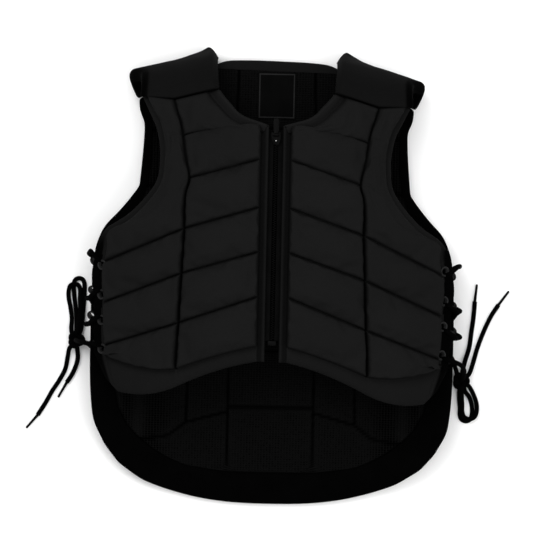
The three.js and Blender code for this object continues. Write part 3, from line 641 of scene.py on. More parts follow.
def hermite(stations, rows, s, slopes=None):
    """A smooth curve through the rows of numbers at their stations, read at the station s."""
    if slopes is None:
        slopes = np.gradient(rows, stations, axis=0)
    i = min(len(stations) - 2, max(0, int(np.searchsorted(stations, s)) - 1))
    h = stations[i + 1] - stations[i]
    t = (s - stations[i]) / h
    return ((1 + 2 * t) * (1 - t) ** 2 * rows[i] + t * (1 - t) ** 2 * h * slopes[i]
            + t * t * (3 - 2 * t) * rows[i + 1] - t * t * (1 - t) * h * slopes[i + 1])


def front_lines():
    """The fine rows of a front: their stations along the channel, key points and distances to the seams."""
    rows = np.array([[*r["inner"], *r["channel"], *r["edge"], *r["bow"]] for r in FRONT_ROWS], float)
    rows *= [HALF, LENGTH, HALF, LENGTH, HALF, LENGTH, LENGTH, LENGTH]
    steps = np.hypot(*np.diff(rows[:, 2:4], axis=0).T)
    stations = np.concatenate([[0], np.cumsum(steps)])
    seams = {key: [s for s, r in zip(stations, FRONT_ROWS) if r["seam"] in (key, "both")]
             for key in ("inner", "outer")}
    fine = spread(beside(sorted(set(seams["inner"] + seams["outer"])), 0, stations[-1]), sizes().grid)
    lines = np.array([hermite(stations, rows, s) for s in fine])
    lines[:, 0] = ZIP_HALF + np.maximum(0, lines[:, 0] - ZIP_HALF * np.minimum(1, lines[:, 0] / (20 * MM)))
    return stations, fine, lines, seams


def inward(points, i, side):
    """The way square to the line of points at one of them, to the left of it where side is 1."""
    along = (points[min(i + 1, len(points) - 1)] - points[max(i - 1, 0)])
    along = along / np.linalg.norm(along)
    return np.array([-along[1] * side, along[0] * side])


def block_height(distances, wall, full=PAD):
    """Height of the pad where each distance to a sewn line brings it down to that line's floor."""
    height = full
    for distance, floor, radius in distances:
        rise = math.sqrt(max(0.0, 1 - (1 - min(1.0, distance / radius)) ** 2))
        height = min(height, floor + (full - floor) * rise)
    return max(wall, height)


def front_painted_light(zone, t, from_a, from_b, to_row, upper, round_neck, below, in_hem):
    """How light the cover of a front is, painted into its colour: painted shade along its seams and at the feet
    of its blocks, a painted highlight along the zip's fold, and black where the laces cross its side.
    """
    if zone == "margin":
        # Painted highlight along the ridge of the zip's fold; the margin is set darker elsewhere, less so where
        # it rolls round the neck.
        fold = 0.55 * math.exp(-((from_a - ZIP_FOLD) / (1.2 * MM)) ** 2)
        return 0.4 + fold + 0.42 * round_neck * (1 - fold)
    if zone == "strip":
        return 0.85 - 0.77 * below * smooth((t - 0.36) / 0.22)
    if in_hem:
        return 0.85
    to_channel, to_edge = (from_b, from_a) if zone == "inner" else (from_a, from_b)
    # Painted shade: the block darkens towards the channel, the sewn rows and its edges, down in the grooves of
    # its seams.
    return min(
        0.22 + 0.3 * upper + 0.78 * smooth((to_channel - 0.4 * MM) / (1.8 * MM)),
        0.8 + 0.2 * smooth((to_row - 0.3 * MM) / (1.2 * MM)),
        0.7 + 0.3 * smooth(to_edge / (1.8 * MM)), 1)


def front_places(zone, width):
    """Where the points of one stretch of a row stand, as shares of it, close together beside a seam."""
    if zone not in BLOCK_STEPS:
        return MARGIN_PLACES
    near = [d / width for d in NEAR_SEAM]
    count = BLOCK_STEPS[zone]
    middle = [near[-1] + (1 - 2 * near[-1]) * j / count for j in range(1, count)]
    return [0, *near, *middle, *[1 - d for d in reversed(near)], 1]


def front_height(zone, t, from_a, from_b, to_row, to_join, upper, round_neck):
    """How thick a front is at a place: on its rolled margin, on its flat strip, or on a block between seams."""
    radius = sizes().seam_round
    rise = THIN_WALL - EDGE_WALL
    if zone == "margin":
        ridge = 1.6 * MM * math.exp(-((from_a - ZIP_FOLD) / (1.3 * MM)) ** 2) * (1 - round_neck)
        roll = round_neck * 1.8 * MM * math.sin(math.pi * min(1, t))
        return EDGE_WALL + rise * smooth(t / 0.3) + ridge + roll
    if zone == "strip":
        return EDGE_WALL + rise * smooth((1 - t) / 0.3)
    channel = CHANNEL_FLOOR + (SEAM_FLOOR + 1 * MM - CHANNEL_FLOOR) * upper
    if zone == "inner":
        ends = [(from_a, THIN_WALL, radius), (from_b, channel, 1.2 * radius)]
    else:
        ends = [(from_a, channel, 1.2 * radius), (from_b, THIN_WALL, 1.2 * radius)]
    height = block_height([*ends, (to_row, SEAM_FLOOR, radius), (to_join, JOIN_FLOOR, radius)], THIN_WALL)
    return height + CROWN * math.sin(math.pi * t) ** 0.6 * smooth(to_row / (14 * MM))


def front_gather(zone, t, s, p, seed, in_hem, round_neck):
    """The small gathers of the cloth: across the blocks, along the hem or along the margins."""
    if in_hem:
        return 1.5 * noise.noise(Vector((p[0] / (7 * MM), s / (30 * MM), seed)))
    if zone in BLOCK_STEPS:
        return noise.noise(Vector((p[0] / (9 * MM), p[1] / (9 * MM), seed)))
    return (1 + 0.6 * round_neck) * noise.noise(Vector((s / (6.5 * MM), 1.2 * t, seed)))


def front_shell(side):
    """Two grids of a front, its cover and its lining, with what is sewn down and how light it is."""
    stations, fine, lines, seams = front_lines()
    inner, edge = lines[:, 0:2], lines[:, 4:6]
    hem_end, join_from, join_end = stations[1], stations[-2], stations[-1]
    cover, lining, sewn, tones = [], [], [], []
    for i, s in enumerate(fine):
        channel = lines[i, 2:4]
        bows = dict(inner=lines[i, 6], outer=lines[i, 7])
        at_rim, in_hem = s < 1e-9, s < hem_end
        upper = smooth((s - stations[NARROW_ROW] + 10 * MM) / (20 * MM))
        round_neck = smooth((s - stations[NECK_ROW] + 6 * MM) / (8 * MM))
        below = smooth((0.1 - edge[i][1] / LENGTH) / 0.04)
        foot = inner[i] + inward(inner, i, -1) * (ZIP_MARGIN + (NECK_MARGIN - ZIP_MARGIN) * round_neck)
        strip = edge[i] + inward(edge, i, 1) * (ARM_MARGIN + (SIDE_STRIP - ARM_MARGIN) * below)
        if s > join_from:
            to_end = smooth((s - join_from) / (join_end - join_from))
            across = channel - inner[i]
            foot = foot * (1 - to_end) + to_end * (inner[i] + across * NECK_MARGIN / np.linalg.norm(across))
        if in_hem:
            to_rim = 1 - s / hem_end
            strip = strip * (1 - to_rim) + to_rim * (edge[i] - np.array([0.065 * HALF, 0.029 * LENGTH]))
        row, under, pins, shades = [], [], [], []
        for k, (a, b, zone) in enumerate(((inner[i], foot, "margin"), (foot, channel, "inner"),
                                          (channel, strip, "outer"), (strip, edge[i], "strip"))):
            on_block = zone in BLOCK_STEPS
            width = float(np.linalg.norm(b - a))
            to_row = min([abs(s - v) for v in seams["inner" if zone == "inner" else "outer"]], default=1)
            seed = 11.0 * side + (3 if zone == "outer" else 0)
            for t in front_places(zone, width)[min(k, 1):]:
                p = a + (b - a) * t
                if on_block:
                    p = p + np.array([0, 4 * t * (1 - t) * bows[zone]])
                from_a, from_b = t * width, (1 - t) * width
                nearest = min(from_a, from_b, to_row) if on_block else 0
                height = front_height(zone, t, from_a, from_b, to_row, fine[-1] - s, upper, round_neck)
                if s < hem_end - 1e-9 and on_block:
                    height = THIN_WALL + 2.2 * MM * math.sin(math.pi * min(1, s / hem_end)) ** 0.7
                if at_rim:
                    height = EDGE_WALL
                else:
                    fade = math.exp(-nearest / (11 * MM)) if on_block else 0.8
                    height += sizes().pucker * front_gather(zone, t, s, p, seed, in_hem, round_neck) * fade
                low = Vector((side * p[0], p[1], front_lining(p[0], p[1])))
                high = low + front_normal(side * p[0], p[1]) * height
                for point in (low, high):
                    point.y -= LEAN * point.x
                row.append(high)
                under.append(low)
                pins.append(not on_block or in_hem or nearest < 1 * MM or s > fine[-1] - 1 * MM)
                shades.append(front_painted_light(zone, t, from_a, from_b, to_row, upper, round_neck, below, in_hem))
        cover.append(row)
        lining.append(under)
        sewn.append(pins)
        tones.append(shades)
    return cover, lining, sewn, tones


def puffed(piece, held, puff, growth=0.035, pressure=4.0):
    """Blows the cloth up between its sewn lines, no further than puff, and applies the result."""
    group = piece.vertex_groups.new(name="sewn")
    group.add([i for i, h in enumerate(held) if h], 1.0, "REPLACE")
    before = points_of(piece.data)
    cloth = piece.modifiers.new("Cloth", "CLOTH")
    settings = cloth.settings
    settings.quality = 4
    settings.mass = 0.2
    settings.tension_stiffness = settings.compression_stiffness = 20
    settings.shear_stiffness = 8
    settings.bending_stiffness = 0.6
    settings.vertex_group_mass = "sewn"
    settings.shrink_min = -growth
    settings.use_pressure = True
    settings.uniform_pressure_force = pressure
    settings.effector_weights.gravity = 0
    cloth.point_cache.frame_start, cloth.point_cache.frame_end = 1, 20
    scene = bpy.context.scene
    for f in range(1, 21):
        scene.frame_set(f)
    blown = piece.evaluated_get(bpy.context.evaluated_depsgraph_get()).data
    after = points_of(blown)
    piece.modifiers.remove(cloth)
    scene.frame_set(1)
    move = after - before
    far = np.linalg.norm(move, axis=1, keepdims=True)
    move *= np.minimum(1, puff / np.maximum(far, 1e-9))
    place_points(piece, before + move)


def eyelet_axis(node):
    """The middle of an eyelet's flange and the direction that it faces, from its node's own points."""
    points = np.array([v.co for v in NODES[node].data.vertices])
    middle = points.mean(0)
    values, vectors = np.linalg.eigh(np.cov((points - middle).T))
    axis = vectors[:, 0] if values[1] - values[0] > values[2] - values[1] else vectors[:, 2]
    if axis[2] * (1 if "front" in node else -1) < 0:
        axis = -axis
    along = (points - middle) @ axis
    across = np.linalg.norm((points - middle) - np.outer(along, axis), axis=1)
    rim = points[across > across.max() - 0.05 * MM].mean(0)
    return Vector(rim), Vector(axis)


def pierced(piece, nodes, radius=3.9 * MM):
    """Cuts a round hole through the piece at each eyelet."""
    for node in nodes:
        centre, axis = eyelet_axis(node)
        punch = added("cylinder", vertices=28, radius=radius, depth=22 * MM)
        punch.data.transform(Matrix.Translation(centre) @ axis.to_track_quat("Z", "Y").to_matrix().to_4x4())
        modified(piece, "BOOLEAN", operation="DIFFERENCE", object=punch, solver="MANIFOLD")
        bpy.data.objects.remove(punch)


def eyelet_nodes(face, name):
    return [f"{face}_eyelet_{name}_{k}" for k in range(1, 5)]


class VEST_OT_fronts(bpy.types.Operator):
    """Sews the two padded fronts"""
    bl_idname = "vest.fronts"
    bl_label = "Padded fronts"

    def execute(self, context):
        for name, side in SIDES:
            cover, lining, sewn, tones = front_shell(side)
            tones, sewn = flat_list(tones), flat_list(sewn)
            piece = shell_piece(f"padded_front_{name}", cover, lining, woven_cover(), knitted_mesh(),
                                plain_black(), tones=tones + [1] * len(tones))
            puffed(piece, sewn + [True] * len(sewn), sizes().puff)
            modified(piece, "SUBSURF", levels=1, render_levels=1)
            pierced(piece, eyelet_nodes("front", name))
            line = sorted((eyelet_axis(node)[0] for node in eyelet_nodes("front", name)), key=lambda p: p.y)
            ys, xs = [p.y for p in line], [abs(p.x) for p in line]
            laced = (ys[0] - 18 * MM, ys[-1] + 22 * MM)

            def cloth(middle, normal):
                outside = abs(middle.x) > np.interp(middle.y, ys, xs) and laced[0] < middle.y < laced[1]
                return 1 if normal.z < -0.5 else 2 if outside else 0
            faces_by(piece, cloth)
            piece.data.shade_smooth()
            finish_piece(piece, "cover_fabric", f"front_panel_{name}")
        return {"FINISHED"}


def back_lining_height(x, y):
    """Height of the inside of the back."""
    out = max(0.0, abs(x) - 100 * MM) / (90 * MM)
    tail = smooth((-0.425 - y / LENGTH) / 0.08)
    return PAD + 27 * MM * out ** 1.8 - 8 * MM * tail * (1 - min(1.0, out))


def slanted(x, y, z):
    """The y of a point of the back or the shoulders, which lean with the fronts above them."""
    up = smooth((y / LENGTH + 0.25) / 0.65)
    high = smooth((z - PAD) / (2 * PAD))
    return y - LEAN * x * max(up, high)


def back_normal(x, y):
    """The way that the inside of the back faces."""
    d = 1 * MM
    slope_x = (back_lining_height(x + d, y) - back_lining_height(x - d, y)) / (2 * d)
    slope_y = (back_lining_height(x, y + d) - back_lining_height(x, y - d)) / (2 * d)
    return Vector((-slope_x, -slope_y, 1)).normalized()


def shoulder_shell(side):
    """Two grids of a shoulder piece, folded over from the front's end to the back's, and how light it is."""
    front_row, back_in, back_out = FRONT_ROWS[-1], SHOULDER["back_neck"], SHOULDER["back_arm"]
    scale = np.array([HALF, LENGTH])
    a, b, c = (np.array(front_row[k]) * scale for k in ("inner", "channel", "edge"))
    turn = (b[0] - a[0]) / (c[0] - a[0])
    across = spread([0, 0.02, 0.05, 0.1, turn, 0.9, 0.95, 0.98, 1], 0.035)
    along = spread([0, 0.012, 0.03, 0.06, 0.94, 0.97, 0.988, 1], 0.022)
    grid, tones = [], []
    for t in along:
        row, shades = [], []
        for u in across:
            front = a + (b - a) * u / turn if u < turn else b + (c - b) * (u - turn) / (1 - turn)
            back = np.array(back_in) * scale * (1 - u) + np.array(back_out) * scale * u
            reach = (SHOULDER["neck_reach"] * (1 - u) + SHOULDER["arm_reach"] * u) * LENGTH
            reach -= STRAP_PAD + (6.5 - 3 * u) * MM
            pull = (reach - (front[1] + back[1]) / 8) * 8 / 6
            z0, z1 = front_lining(*front), back_lining_height(*back)
            weights = ((1 - t) ** 3, 3 * t * (1 - t) ** 2, 3 * t ** 2 * (1 - t), t ** 3)
            y = float(np.dot(weights, (front[1] + SEAM_GAP, pull, pull, back[1] + SEAM_GAP)))
            z = float(np.dot(weights, (z0, z0 - 0.15 * (pull - front[1]), z1, z1)))
            flare = SHOULDER["flare"] * HALF * u ** 2 * 4 * t * (1 - t) * smooth((t - 0.3) / 0.4)
            x = front[0] + (back[0] - front[0]) * smooth(t) + flare
            x += (6 * (1 - u) ** 2 + 3.5 * u ** 2) * MM * min(1, max(0, (y - front[1]) / (38 * MM))) ** 1.5
            row.append(Vector((side * x, y, z)))
            # Painted shade in a band along the seam at the front's end; the piece is also set darker than the
            # fronts all over, and near black across its arm end.
            shades.append((0.58 - 0.55 * smooth((u - 0.86) / 0.05)) * (0.75 + 0.25 * smooth(t / 0.02)))
        grid.append(row)
        tones.append(shades)
    middle = Vector((0, 0.4 * LENGTH, 45 * MM))
    outer = []
    for i, t in enumerate(along):
        row = []
        for k, u in enumerate(across):
            down = grid[min(i + 1, len(along) - 1)][k] - grid[max(i - 1, 0)][k]
            over = grid[i][min(k + 1, len(across) - 1)] - grid[i][max(k - 1, 0)]
            normal = down.cross(over).normalized()
            away = grid[i][k] - middle
            away.x = 0
            normal *= 1 if normal.dot(away) > 0 else -1
            p = grid[i][k]
            normal = normal.lerp(front_normal(p.x, p.y), 1 - smooth(t / 0.12))
            normal = normal.lerp(-back_normal(p.x, p.y), smooth((t - 0.88) / 0.12)).normalized()
            flat = PAD + (STRAP_PAD - PAD) * min(1, 4 * t * (1 - t))
            apart = dict(neck=u * SHOULDER_WIDTH, arm=(1 - u) * SHOULDER_WIDTH,
                         front=t * SHOULDER_LENGTH, back=(1 - t) * SHOULDER_LENGTH)
            height = block_height([(apart[end], *SHOULDER_EDGES[end]) for end in apart], 0, flat)
            fold = noise.noise(Vector((p.x * 26 + 4 * side, p.y * 40, p.z * 22)))
            fine = noise.noise(Vector((p.x * 75, p.y * 60 + 9 * side, p.z * 60)))
            calm = smooth(t / 0.03) * smooth((1 - t) / 0.03)
            high = p + normal * (height + (1.5 * fold + 0.6 * fine) * calm * MM)
            high.z = max(high.z, FLOOR_GAP)
            row.append(high)
        outer.append(row)
    for row in (*grid, *outer):
        for p in row:
            p.y = slanted(p.x, p.y, p.z)
    return outer, grid, tones


class VEST_OT_shoulders(bpy.types.Operator):
    """Folds the padded shoulder pieces over"""
    bl_idname = "vest.shoulders"
    bl_label = "Shoulder pieces"

    def execute(self, context):
        for name, side in SIDES:
            outer, inner, tones = shoulder_shell(side)
            tones = flat_list(tones)
            piece = shell_piece(f"padded_shoulder_{name}", outer, inner, woven_cover(),
                                tones=tones + [min(v, 0.1) for v in tones])
            modified(piece, "SUBSURF", levels=1, render_levels=1)
            finish_piece(piece, "cover_fabric", f"shoulder_piece_{name}")
        return {"FINISHED"}


def distance_to(lines, x, y):
    """Distance from a point to the nearest of the lines."""
    best = 1.0
    for line in lines:
        for (ax, ay), (bx, by) in zip(line, line[1:]):
            dx, dy = bx - ax, by - ay
            t = min(1.0, max(0.0, ((x - ax) * dx + (y - ay) * dy) / (dx * dx + dy * dy)))
            best = min(best, math.hypot(x - ax - t * dx, y - ay - t * dy))
    return best


def back_shell():
    """Two grids of the back, tail to neck: its inside and its padded outside, and how light that is."""
    columns = spread(beside([0.5], 0, 1), 0.045)[:-1] + [1.0]
    coarse = []
    edges = np.array([row["edge"] for row in BACK_ROWS]) * [HALF, LENGTH]
    for i, row in enumerate(BACK_ROWS):
        strip = edges[i] + inward(edges, i, 1) * row["band"] * MM
        if i == 0:
            strip = edges[0] - np.array([24, 17]) * MM
        line = []
        for c in columns:
            x = BACK_SEAM * min(1, 2 * c) + (strip[0] - BACK_SEAM) * max(0, 2 * c - 1)
            y = row["y"] * LENGTH
            if row["seam"] in ("neck", "join"):
                t = max(0, x - NECK_CORNER[0] * HALF) / (edges[i][0] - NECK_CORNER[0] * HALF)
                corner = (NECK_CORNER[1] - BACK_ROWS[-1]["y"] + row["y"]) * LENGTH
                y += (corner - y) * min(1, x / (NECK_CORNER[0] * HALF)) ** 3
                y += (edges[i][1] - y) * t
            else:
                t = x / strip[0]
                y -= row["bend"] * LENGTH * smooth((t - 0.25) / 0.6)
                y += (strip[1] - y) * (t ** 2.6 if i < 2 else max(0, (t - 0.6) / 0.4) ** 1.5)
            line.append((x, y))
        if row["seam"] in ("neck", "join"):
            line[-1] = (line[-1][0], line[-2][1] + (edges[i][1] - line[-2][1]) * 0.5)
        coarse.append([*line, (line[-1] + edges[i]) / 2, edges[i]])
    coarse = np.array(coarse, float)
    stations = np.array([row["y"] for row in BACK_ROWS]) * LENGTH
    slopes = level_slopes(stations, coarse)
    seams = [v for v, row in zip(stations, BACK_ROWS) if row["seam"] == "both"]
    fine = spread(beside(seams, stations[0], stations[-1]), 6 * MM)
    inside, outside, tones = [], [], []
    for s in fine:
        half_row = hermite(stations, coarse, s, slopes)
        to_row = min(abs(s - v) for v in seams)
        row, under, shades = [], [], []
        for side in (-1, 1):
            picks = range(len(half_row) - 1, -1, -1) if side < 0 else range(1, len(half_row))
            for k in picks:
                x, y = half_row[k]
                to_strip = float(np.linalg.norm(half_row[k] - half_row[-3]))
                on_band = k >= len(half_row) - 2
                ends = [(to_row, SEAM_FLOOR, 5 * MM), (abs(x - BACK_SEAM), SEAM_FLOOR, 5 * MM),
                        (max(0, s - stations[1]), THIN_WALL, 6 * MM),
                        (stations[-1] - s, SEAM_FLOOR, 6 * MM), (0 if on_band else to_strip, THIN_WALL, 6 * MM)]
                height = EDGE_WALL if k == len(half_row) - 1 else block_height(ends, EDGE_WALL)
                z = back_lining_height(x, y)
                top = Vector((side * x, slanted(side * x, y, z), z))
                low = top - back_normal(side * x, y) * height
                low.z = max(low.z, FLOOR_GAP)
                row.append(top)
                under.append(low)
                # Painted shade in the grooves along the seams of the padded outside; its border band is set a
                # little darker.
                seam = min(to_row, abs(x - BACK_SEAM))
                shades.append(0.85 if on_band else 0.3 + 0.7 * smooth((seam - 0.3 * MM) / (1.6 * MM)))
        inside.append(row)
        outside.append(under)
        tones.append(shades)
    return inside, outside, tones


class VEST_OT_back(bpy.types.Operator):
    """Sews the padded back"""
    bl_idname = "vest.back"
    bl_label = "Padded back"

    def execute(self, context):
        inside, outside, tones = back_shell()
        tones = flat_list(tones)
        piece = shell_piece("padded_back", inside, outside, woven_cover(), plain_black(),
                            tones=[0.8] * len(tones) + tones)
        modified(piece, "SUBSURF", levels=1, render_levels=1)
        pierced(piece, [n for name, _ in SIDES for n in eyelet_nodes("back", name)])
        faces_by(piece, lambda middle, normal: 1 if normal.z > 0.1 and middle.y < 213 * MM else 0)
        finish_piece(piece, "cover_fabric", "back_panel")
        return {"FINISHED"}


class VEST_OT_lining(bpy.types.Operator):
    """Lays the mesh lining in the back"""
    bl_idname = "vest.lining"
    bl_label = "Mesh lining"

    def execute(self, context):
        seams = [[(x * MM, y * MM) for x, y in line] for line in LINING_SEAMS]
        ys = np.array([y for y, _ in LINING_EDGE]) * MM
        xs = np.array([x for _, x in LINING_EDGE]) * MM
        top = NECK_FACING_Y * MM
        rows = np.linspace(ys[0], top, int((top - ys[0]) / LINING_STEP))
        across = np.linspace(-1, 1, LINING_COLUMNS)
        grid, under, tones = [], [], []
        for y in rows:
            width = float(np.interp(y, ys, xs))
            line, low = [], []
            for u in across:
                x = width * u
                z = back_lining_height(x, y)
                apart = distance_to(seams, abs(x), y)
                crown = 1.5 * MM * (1 - math.exp(-apart / (3.2 * MM)))
                gather = noise.noise(Vector((x / (11 * MM), y / (11 * MM), 4.2)))
                gather *= math.exp(-apart / (14 * MM))
                rim = min(1.0, (1 - abs(u)) * width / (4 * MM), (y - rows[0]) / (4 * MM) + 0.2)
                lift = 0.8 * MM + (0.6 * MM + crown + 0.5 * MM * gather) * (0.35 + 0.65 * rim)
                # Painted shade in the grooves along the mesh's sewn lines and towards its rim.
                tones.append(0.1 + 0.9 * smooth((apart - 0.6 * MM) / (1.8 * MM)) * smooth(rim / 0.8))
                line.append((x, slanted(x, y, z), z + lift))
                low.append((x, slanted(x, y, z), z + 0.15 * MM))
            grid.append(line)
            under.append(low)
        piece = shell_piece("mesh_lining", grid, under, knitted_mesh(), tones=tones + [1] * len(tones))
        finish_piece(piece, "mesh_lining", "back_lining")
        return {"FINISHED"}


# Laces.
def tube(name, path, radius, material, sides=14):
    """A round lace along a path, closed at its ends, with a map in diameters along and turns around."""
    points, uvs, faces = [], [], []
    up = Vector((0, 0, 1))
    length = 0.0
    for i, p in enumerate(path):
        along = (path[min(i + 1, len(path) - 1)] - path[max(i - 1, 0)]).normalized()
        if i:
            length += (p - path[i - 1]).length
        side = along.cross(up)
        if side.length < 0.2:
            side = along.cross(Vector((1, 0, 0)))
        if i:
            side = last_side - along * last_side.dot(along)
        side.normalize()
        last_side = side
        rise = side.cross(along)
        for k in range(sides):
            a = 2 * math.pi * k / sides
            points.append(p + (side * math.cos(a) + rise * math.sin(a)) * radius)
            uvs.append((length / (2 * radius), min(k, sides - k) / sides * math.pi))
    for i in range(len(path) - 1):
        for k in range(sides):
            n = (k + 1) % sides
            faces.append((i * sides + k, i * sides + n, (i + 1) * sides + n, (i + 1) * sides + k))
    faces.append(tuple(range(sides))[::-1])
    faces.append(tuple((len(path) - 1) * sides + k for k in range(sides)))
    piece = mesh_piece(name, points, faces, material, uvs=uvs)
    face_out(piece)
    return piece


def through(points, step):
    """Points no further apart than step on a smooth curve through the given ones."""
    knots = [Vector(p) for p in points]
    ends = [2 * knots[0] - knots[1], *knots, 2 * knots[-1] - knots[-2]]
    out = [knots[0]]
    for a, b, c, d in zip(ends, ends[1:], ends[2:], ends[3:]):
        t1 = math.sqrt((b - a).length)
        t2 = t1 + math.sqrt((c - b).length)
        t3 = t2 + math.sqrt((d - c).length)
        count = max(2, math.ceil((c - b).length / step))
        for k in range(1, count + 1):
            t = t1 + (t2 - t1) * k / count
            ab = a * ((t1 - t) / t1) + b * (t / t1)
            bc = b * ((t2 - t) / (t2 - t1)) + c * ((t - t1) / (t2 - t1))
            cd = c * ((t3 - t) / (t3 - t2)) + d * ((t - t2) / (t3 - t2))
            low = ab * ((t2 - t) / t2) + bc * (t / t2)
            high = bc * ((t3 - t) / (t3 - t1)) + cd * ((t - t1) / (t3 - t1))
            out.append(low * ((t2 - t) / (t2 - t1)) + high * ((t - t1) / (t2 - t1)))
    return out


def centreline(node):
    """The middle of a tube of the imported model, from the rings of its mesh."""
    shape = bmesh.new()
    shape.from_mesh(NODES[node].data)
    bmesh.ops.remove_doubles(shape, verts=shape.verts, dist=MERGE)
    bmesh.ops.dissolve_limit(
        shape, angle_limit=math.radians(0.5), verts=shape.verts, edges=shape.edges, delimit=set())
    caps = [f for f in shape.faces if len(f.verts) == 8]
    if not caps:
        raise RuntimeError(f"{node} has no flat end to start from")
    ring = list(caps[0].verts)
    seen, middles = set(ring), []
    while ring:
        middles.append(sum((v.co for v in ring), Vector()) / len(ring))
        ring = list({e.other_vert(v) for v in ring for e in v.link_edges} - seen)
        seen |= set(ring)
    shape.free()
    return middles


def slung(point, name):
    """A point of the side's lace where it lies slack: outside the edge it hangs half way to the next eyelet."""
    top = eyelet_axis(f"front_eyelet_{name}_1")[0]
    out = smooth((abs(point.x) - abs(top.x) - 4 * MM) / (7 * MM))
    drop = 8 * MM if point.y > top.y - 6 * MM else -8 * MM
    return point + Vector((math.copysign((3 if name == "left" else 1) * MM, point.x), drop, 0)) * out


def eased(path, rounds=7):
    """The path with its turns softened and its ends kept."""
    for _ in range(rounds):
        path = [path[0], *[(a + 2 * b + c) / 4 for a, b, c in zip(path, path[1:], path[2:])], path[-1]]
    return path


class VEST_OT_side_laces(bpy.types.Operator):
    """Threads the laces through the side eyelets"""
    bl_idname = "vest.side_laces"
    bl_label = "Side laces"

    def execute(self, context):
        for name, _ in SIDES:
            path = eased(through([slung(p, name) for p in centreline(f"side_lacing_{name}")], 1.6 * MM))
            piece = tube(f"side_lace_{name}", path, sizes().lace / 2, braided_lace(), sides=12)
            finish_piece(piece, "lace_fabric", f"side_lacing_{name}")
        return {"FINISHED"}


def knot_piece(name, centre, radius):
    """A tied knot: a lace wound three times over itself, as tight as the ball that it fills."""
    strand = sizes().lace / 2
    reach = radius - strand
    path = []
    for k in range(97):
        a = 2 * math.pi * k / 96
        ring = 1 + 0.42 * math.cos(3 * a)
        path.append(Vector((
            centre[0] + reach * 0.7 * ring * math.cos(2 * a),
            centre[1] + reach * 0.7 * ring * math.sin(2 * a),
            centre[2] + reach * 0.55 * math.sin(3 * a))))
    piece = tube(name, path, strand * 1.12, braided_lace(), sides=12)
    core = added("uv_sphere", segments=20, ring_count=12, radius=reach * 0.72, location=centre)
    core.data.materials.append(braided_lace())
    core.data.shade_smooth()
    return joined(piece, core)


def aglet_piece(name, node, tail):
    """The stiff tip of a lace: a crimped sheath that runs on from the lace's end and narrows."""
    points = points_of(NODES[node].data)
    far = Vector(max(points.tolist(), key=lambda p: (Vector(p) - tail[-1]).length))
    along = (far - tail[-1]).normalized()
    sides = 16
    places = (-0.06, 0, 0.02, 0.5, 0.93, 0.98, 1)
    radii = (1.0, 1.45, 1.5, 1.3, 1.2, 0.9, 0.3)
    path = [tail[-1] + along * (k * (far - tail[-1]).length) for k in places]
    piece = tube(name, path, 1 * MM, moulded_plastic(), sides=sides)
    coords = points_of(piece.data)
    for i, (middle, radius) in enumerate(zip(path, radii)):
        ring = coords[sides * i:sides * (i + 1)]
        coords[sides * i:sides * (i + 1)] = np.array(middle) + (ring - np.array(middle)) * radius
    place_points(piece, coords)
    return finish_piece(piece, "aglet_plastic", node)


class VEST_OT_bows(bpy.types.Operator):
    """Ties each side's laces in a bow with two loops and two tails"""
    bl_idname = "vest.bows"
    bl_label = "Bows"

    def execute(self, context):
        lace = sizes().lace
        for name, _ in SIDES:
            bow = BOWS[name]
            centre = Vector(bow["knot"]) * MM
            knot = finish_piece(
                knot_piece(f"knot_{name}", centre, KNOT_RADIUS), "lace_fabric", f"bow_knot_{name}")
            for kind, node, far_end in (("leads", "bow_lead", "knot"), ("loops", "bow_loop", "object"),
                                        ("tails", "lace_tail", "fitting")):
                for k, points in enumerate(bow[kind], 1):
                    points = [Vector(p) * MM for p in points]
                    if kind == "leads":
                        points.insert(0, points[0] + (points[0] - points[1]).normalized() * 4 * MM)
                        points.append(points[-1] + (centre - points[-1]).normalized() * 4 * MM)
                    path = through(points, LACE_STEP)
                    piece = tube(f"{kind[:-1]}_{name}_{k}", path, lace / 2, braided_lace())
                    finish_piece(piece, "lace_fabric", f"{node}_{name}_{k}")
                    carried = [knot] if kind == "leads" else []
                    if kind == "tails":
                        carried = [aglet_piece(f"tip_{name}_{k}", f"aglet_{name}_{k}", path)]
        return {"FINISHED"}


class VEST_OT_eyelets(bpy.types.Operator):
    """Sets a rolled metal eyelet in each hole of the sides"""
    bl_idname = "vest.eyelets"
    bl_label = "Eyelets"

    def execute(self, context):
        metal = dull_metal("gunmetal", tuple(colours().eyelet))
        sides = sizes().ring_sides
        first = added("circle", vertices=sides, radius=3.4 * MM)
        bpy.ops.object.mode_set(mode="EDIT")
        bpy.ops.mesh.select_all(action="SELECT")
        for grow, rise in ((1.08, 0.75), (1.12, 0.4), (1.12, 0.0), (1.1, -0.4), (1.05, -0.6)):
            bpy.ops.mesh.extrude_edges_move(TRANSFORM_OT_translate={"value": (0, 0, rise * MM)})
            bpy.ops.transform.resize(value=(grow, grow, 1))
        bpy.ops.object.mode_set(mode="OBJECT")
        modified(first, "SOLIDIFY", thickness=0.5 * MM, offset=0)
        depth = 5.4 * MM
        barrel = added("cylinder", vertices=sides, radius=3.3 * MM, depth=depth, end_fill_type="NOTHING",
                       location=(0, 0, -depth / 2))
        modified(barrel, "SOLIDIFY", thickness=0.4 * MM, offset=0)
        joined(first, barrel)
        first.data.materials.append(metal)
        first.data.shade_smooth()
        for face in ("front", "back"):
            for name, _ in SIDES:
                for node in eyelet_nodes(face, name):
                    centre, axis = eyelet_axis(node)
                    ring = linked(node.replace("eyelet", "ring"), first.data.copy())
                    turn = axis.to_track_quat("Z", "Y").to_matrix().to_4x4()
                    ring.data.transform(Matrix.Translation(centre) @ turn)
                    finish_piece(ring, "eyelet_metal", node)
        bpy.data.objects.remove(first)
        return {"FINISHED"}


def zip_height(y):
    """Height of the fronts' lining where they meet."""
    return front_lining(0, y)


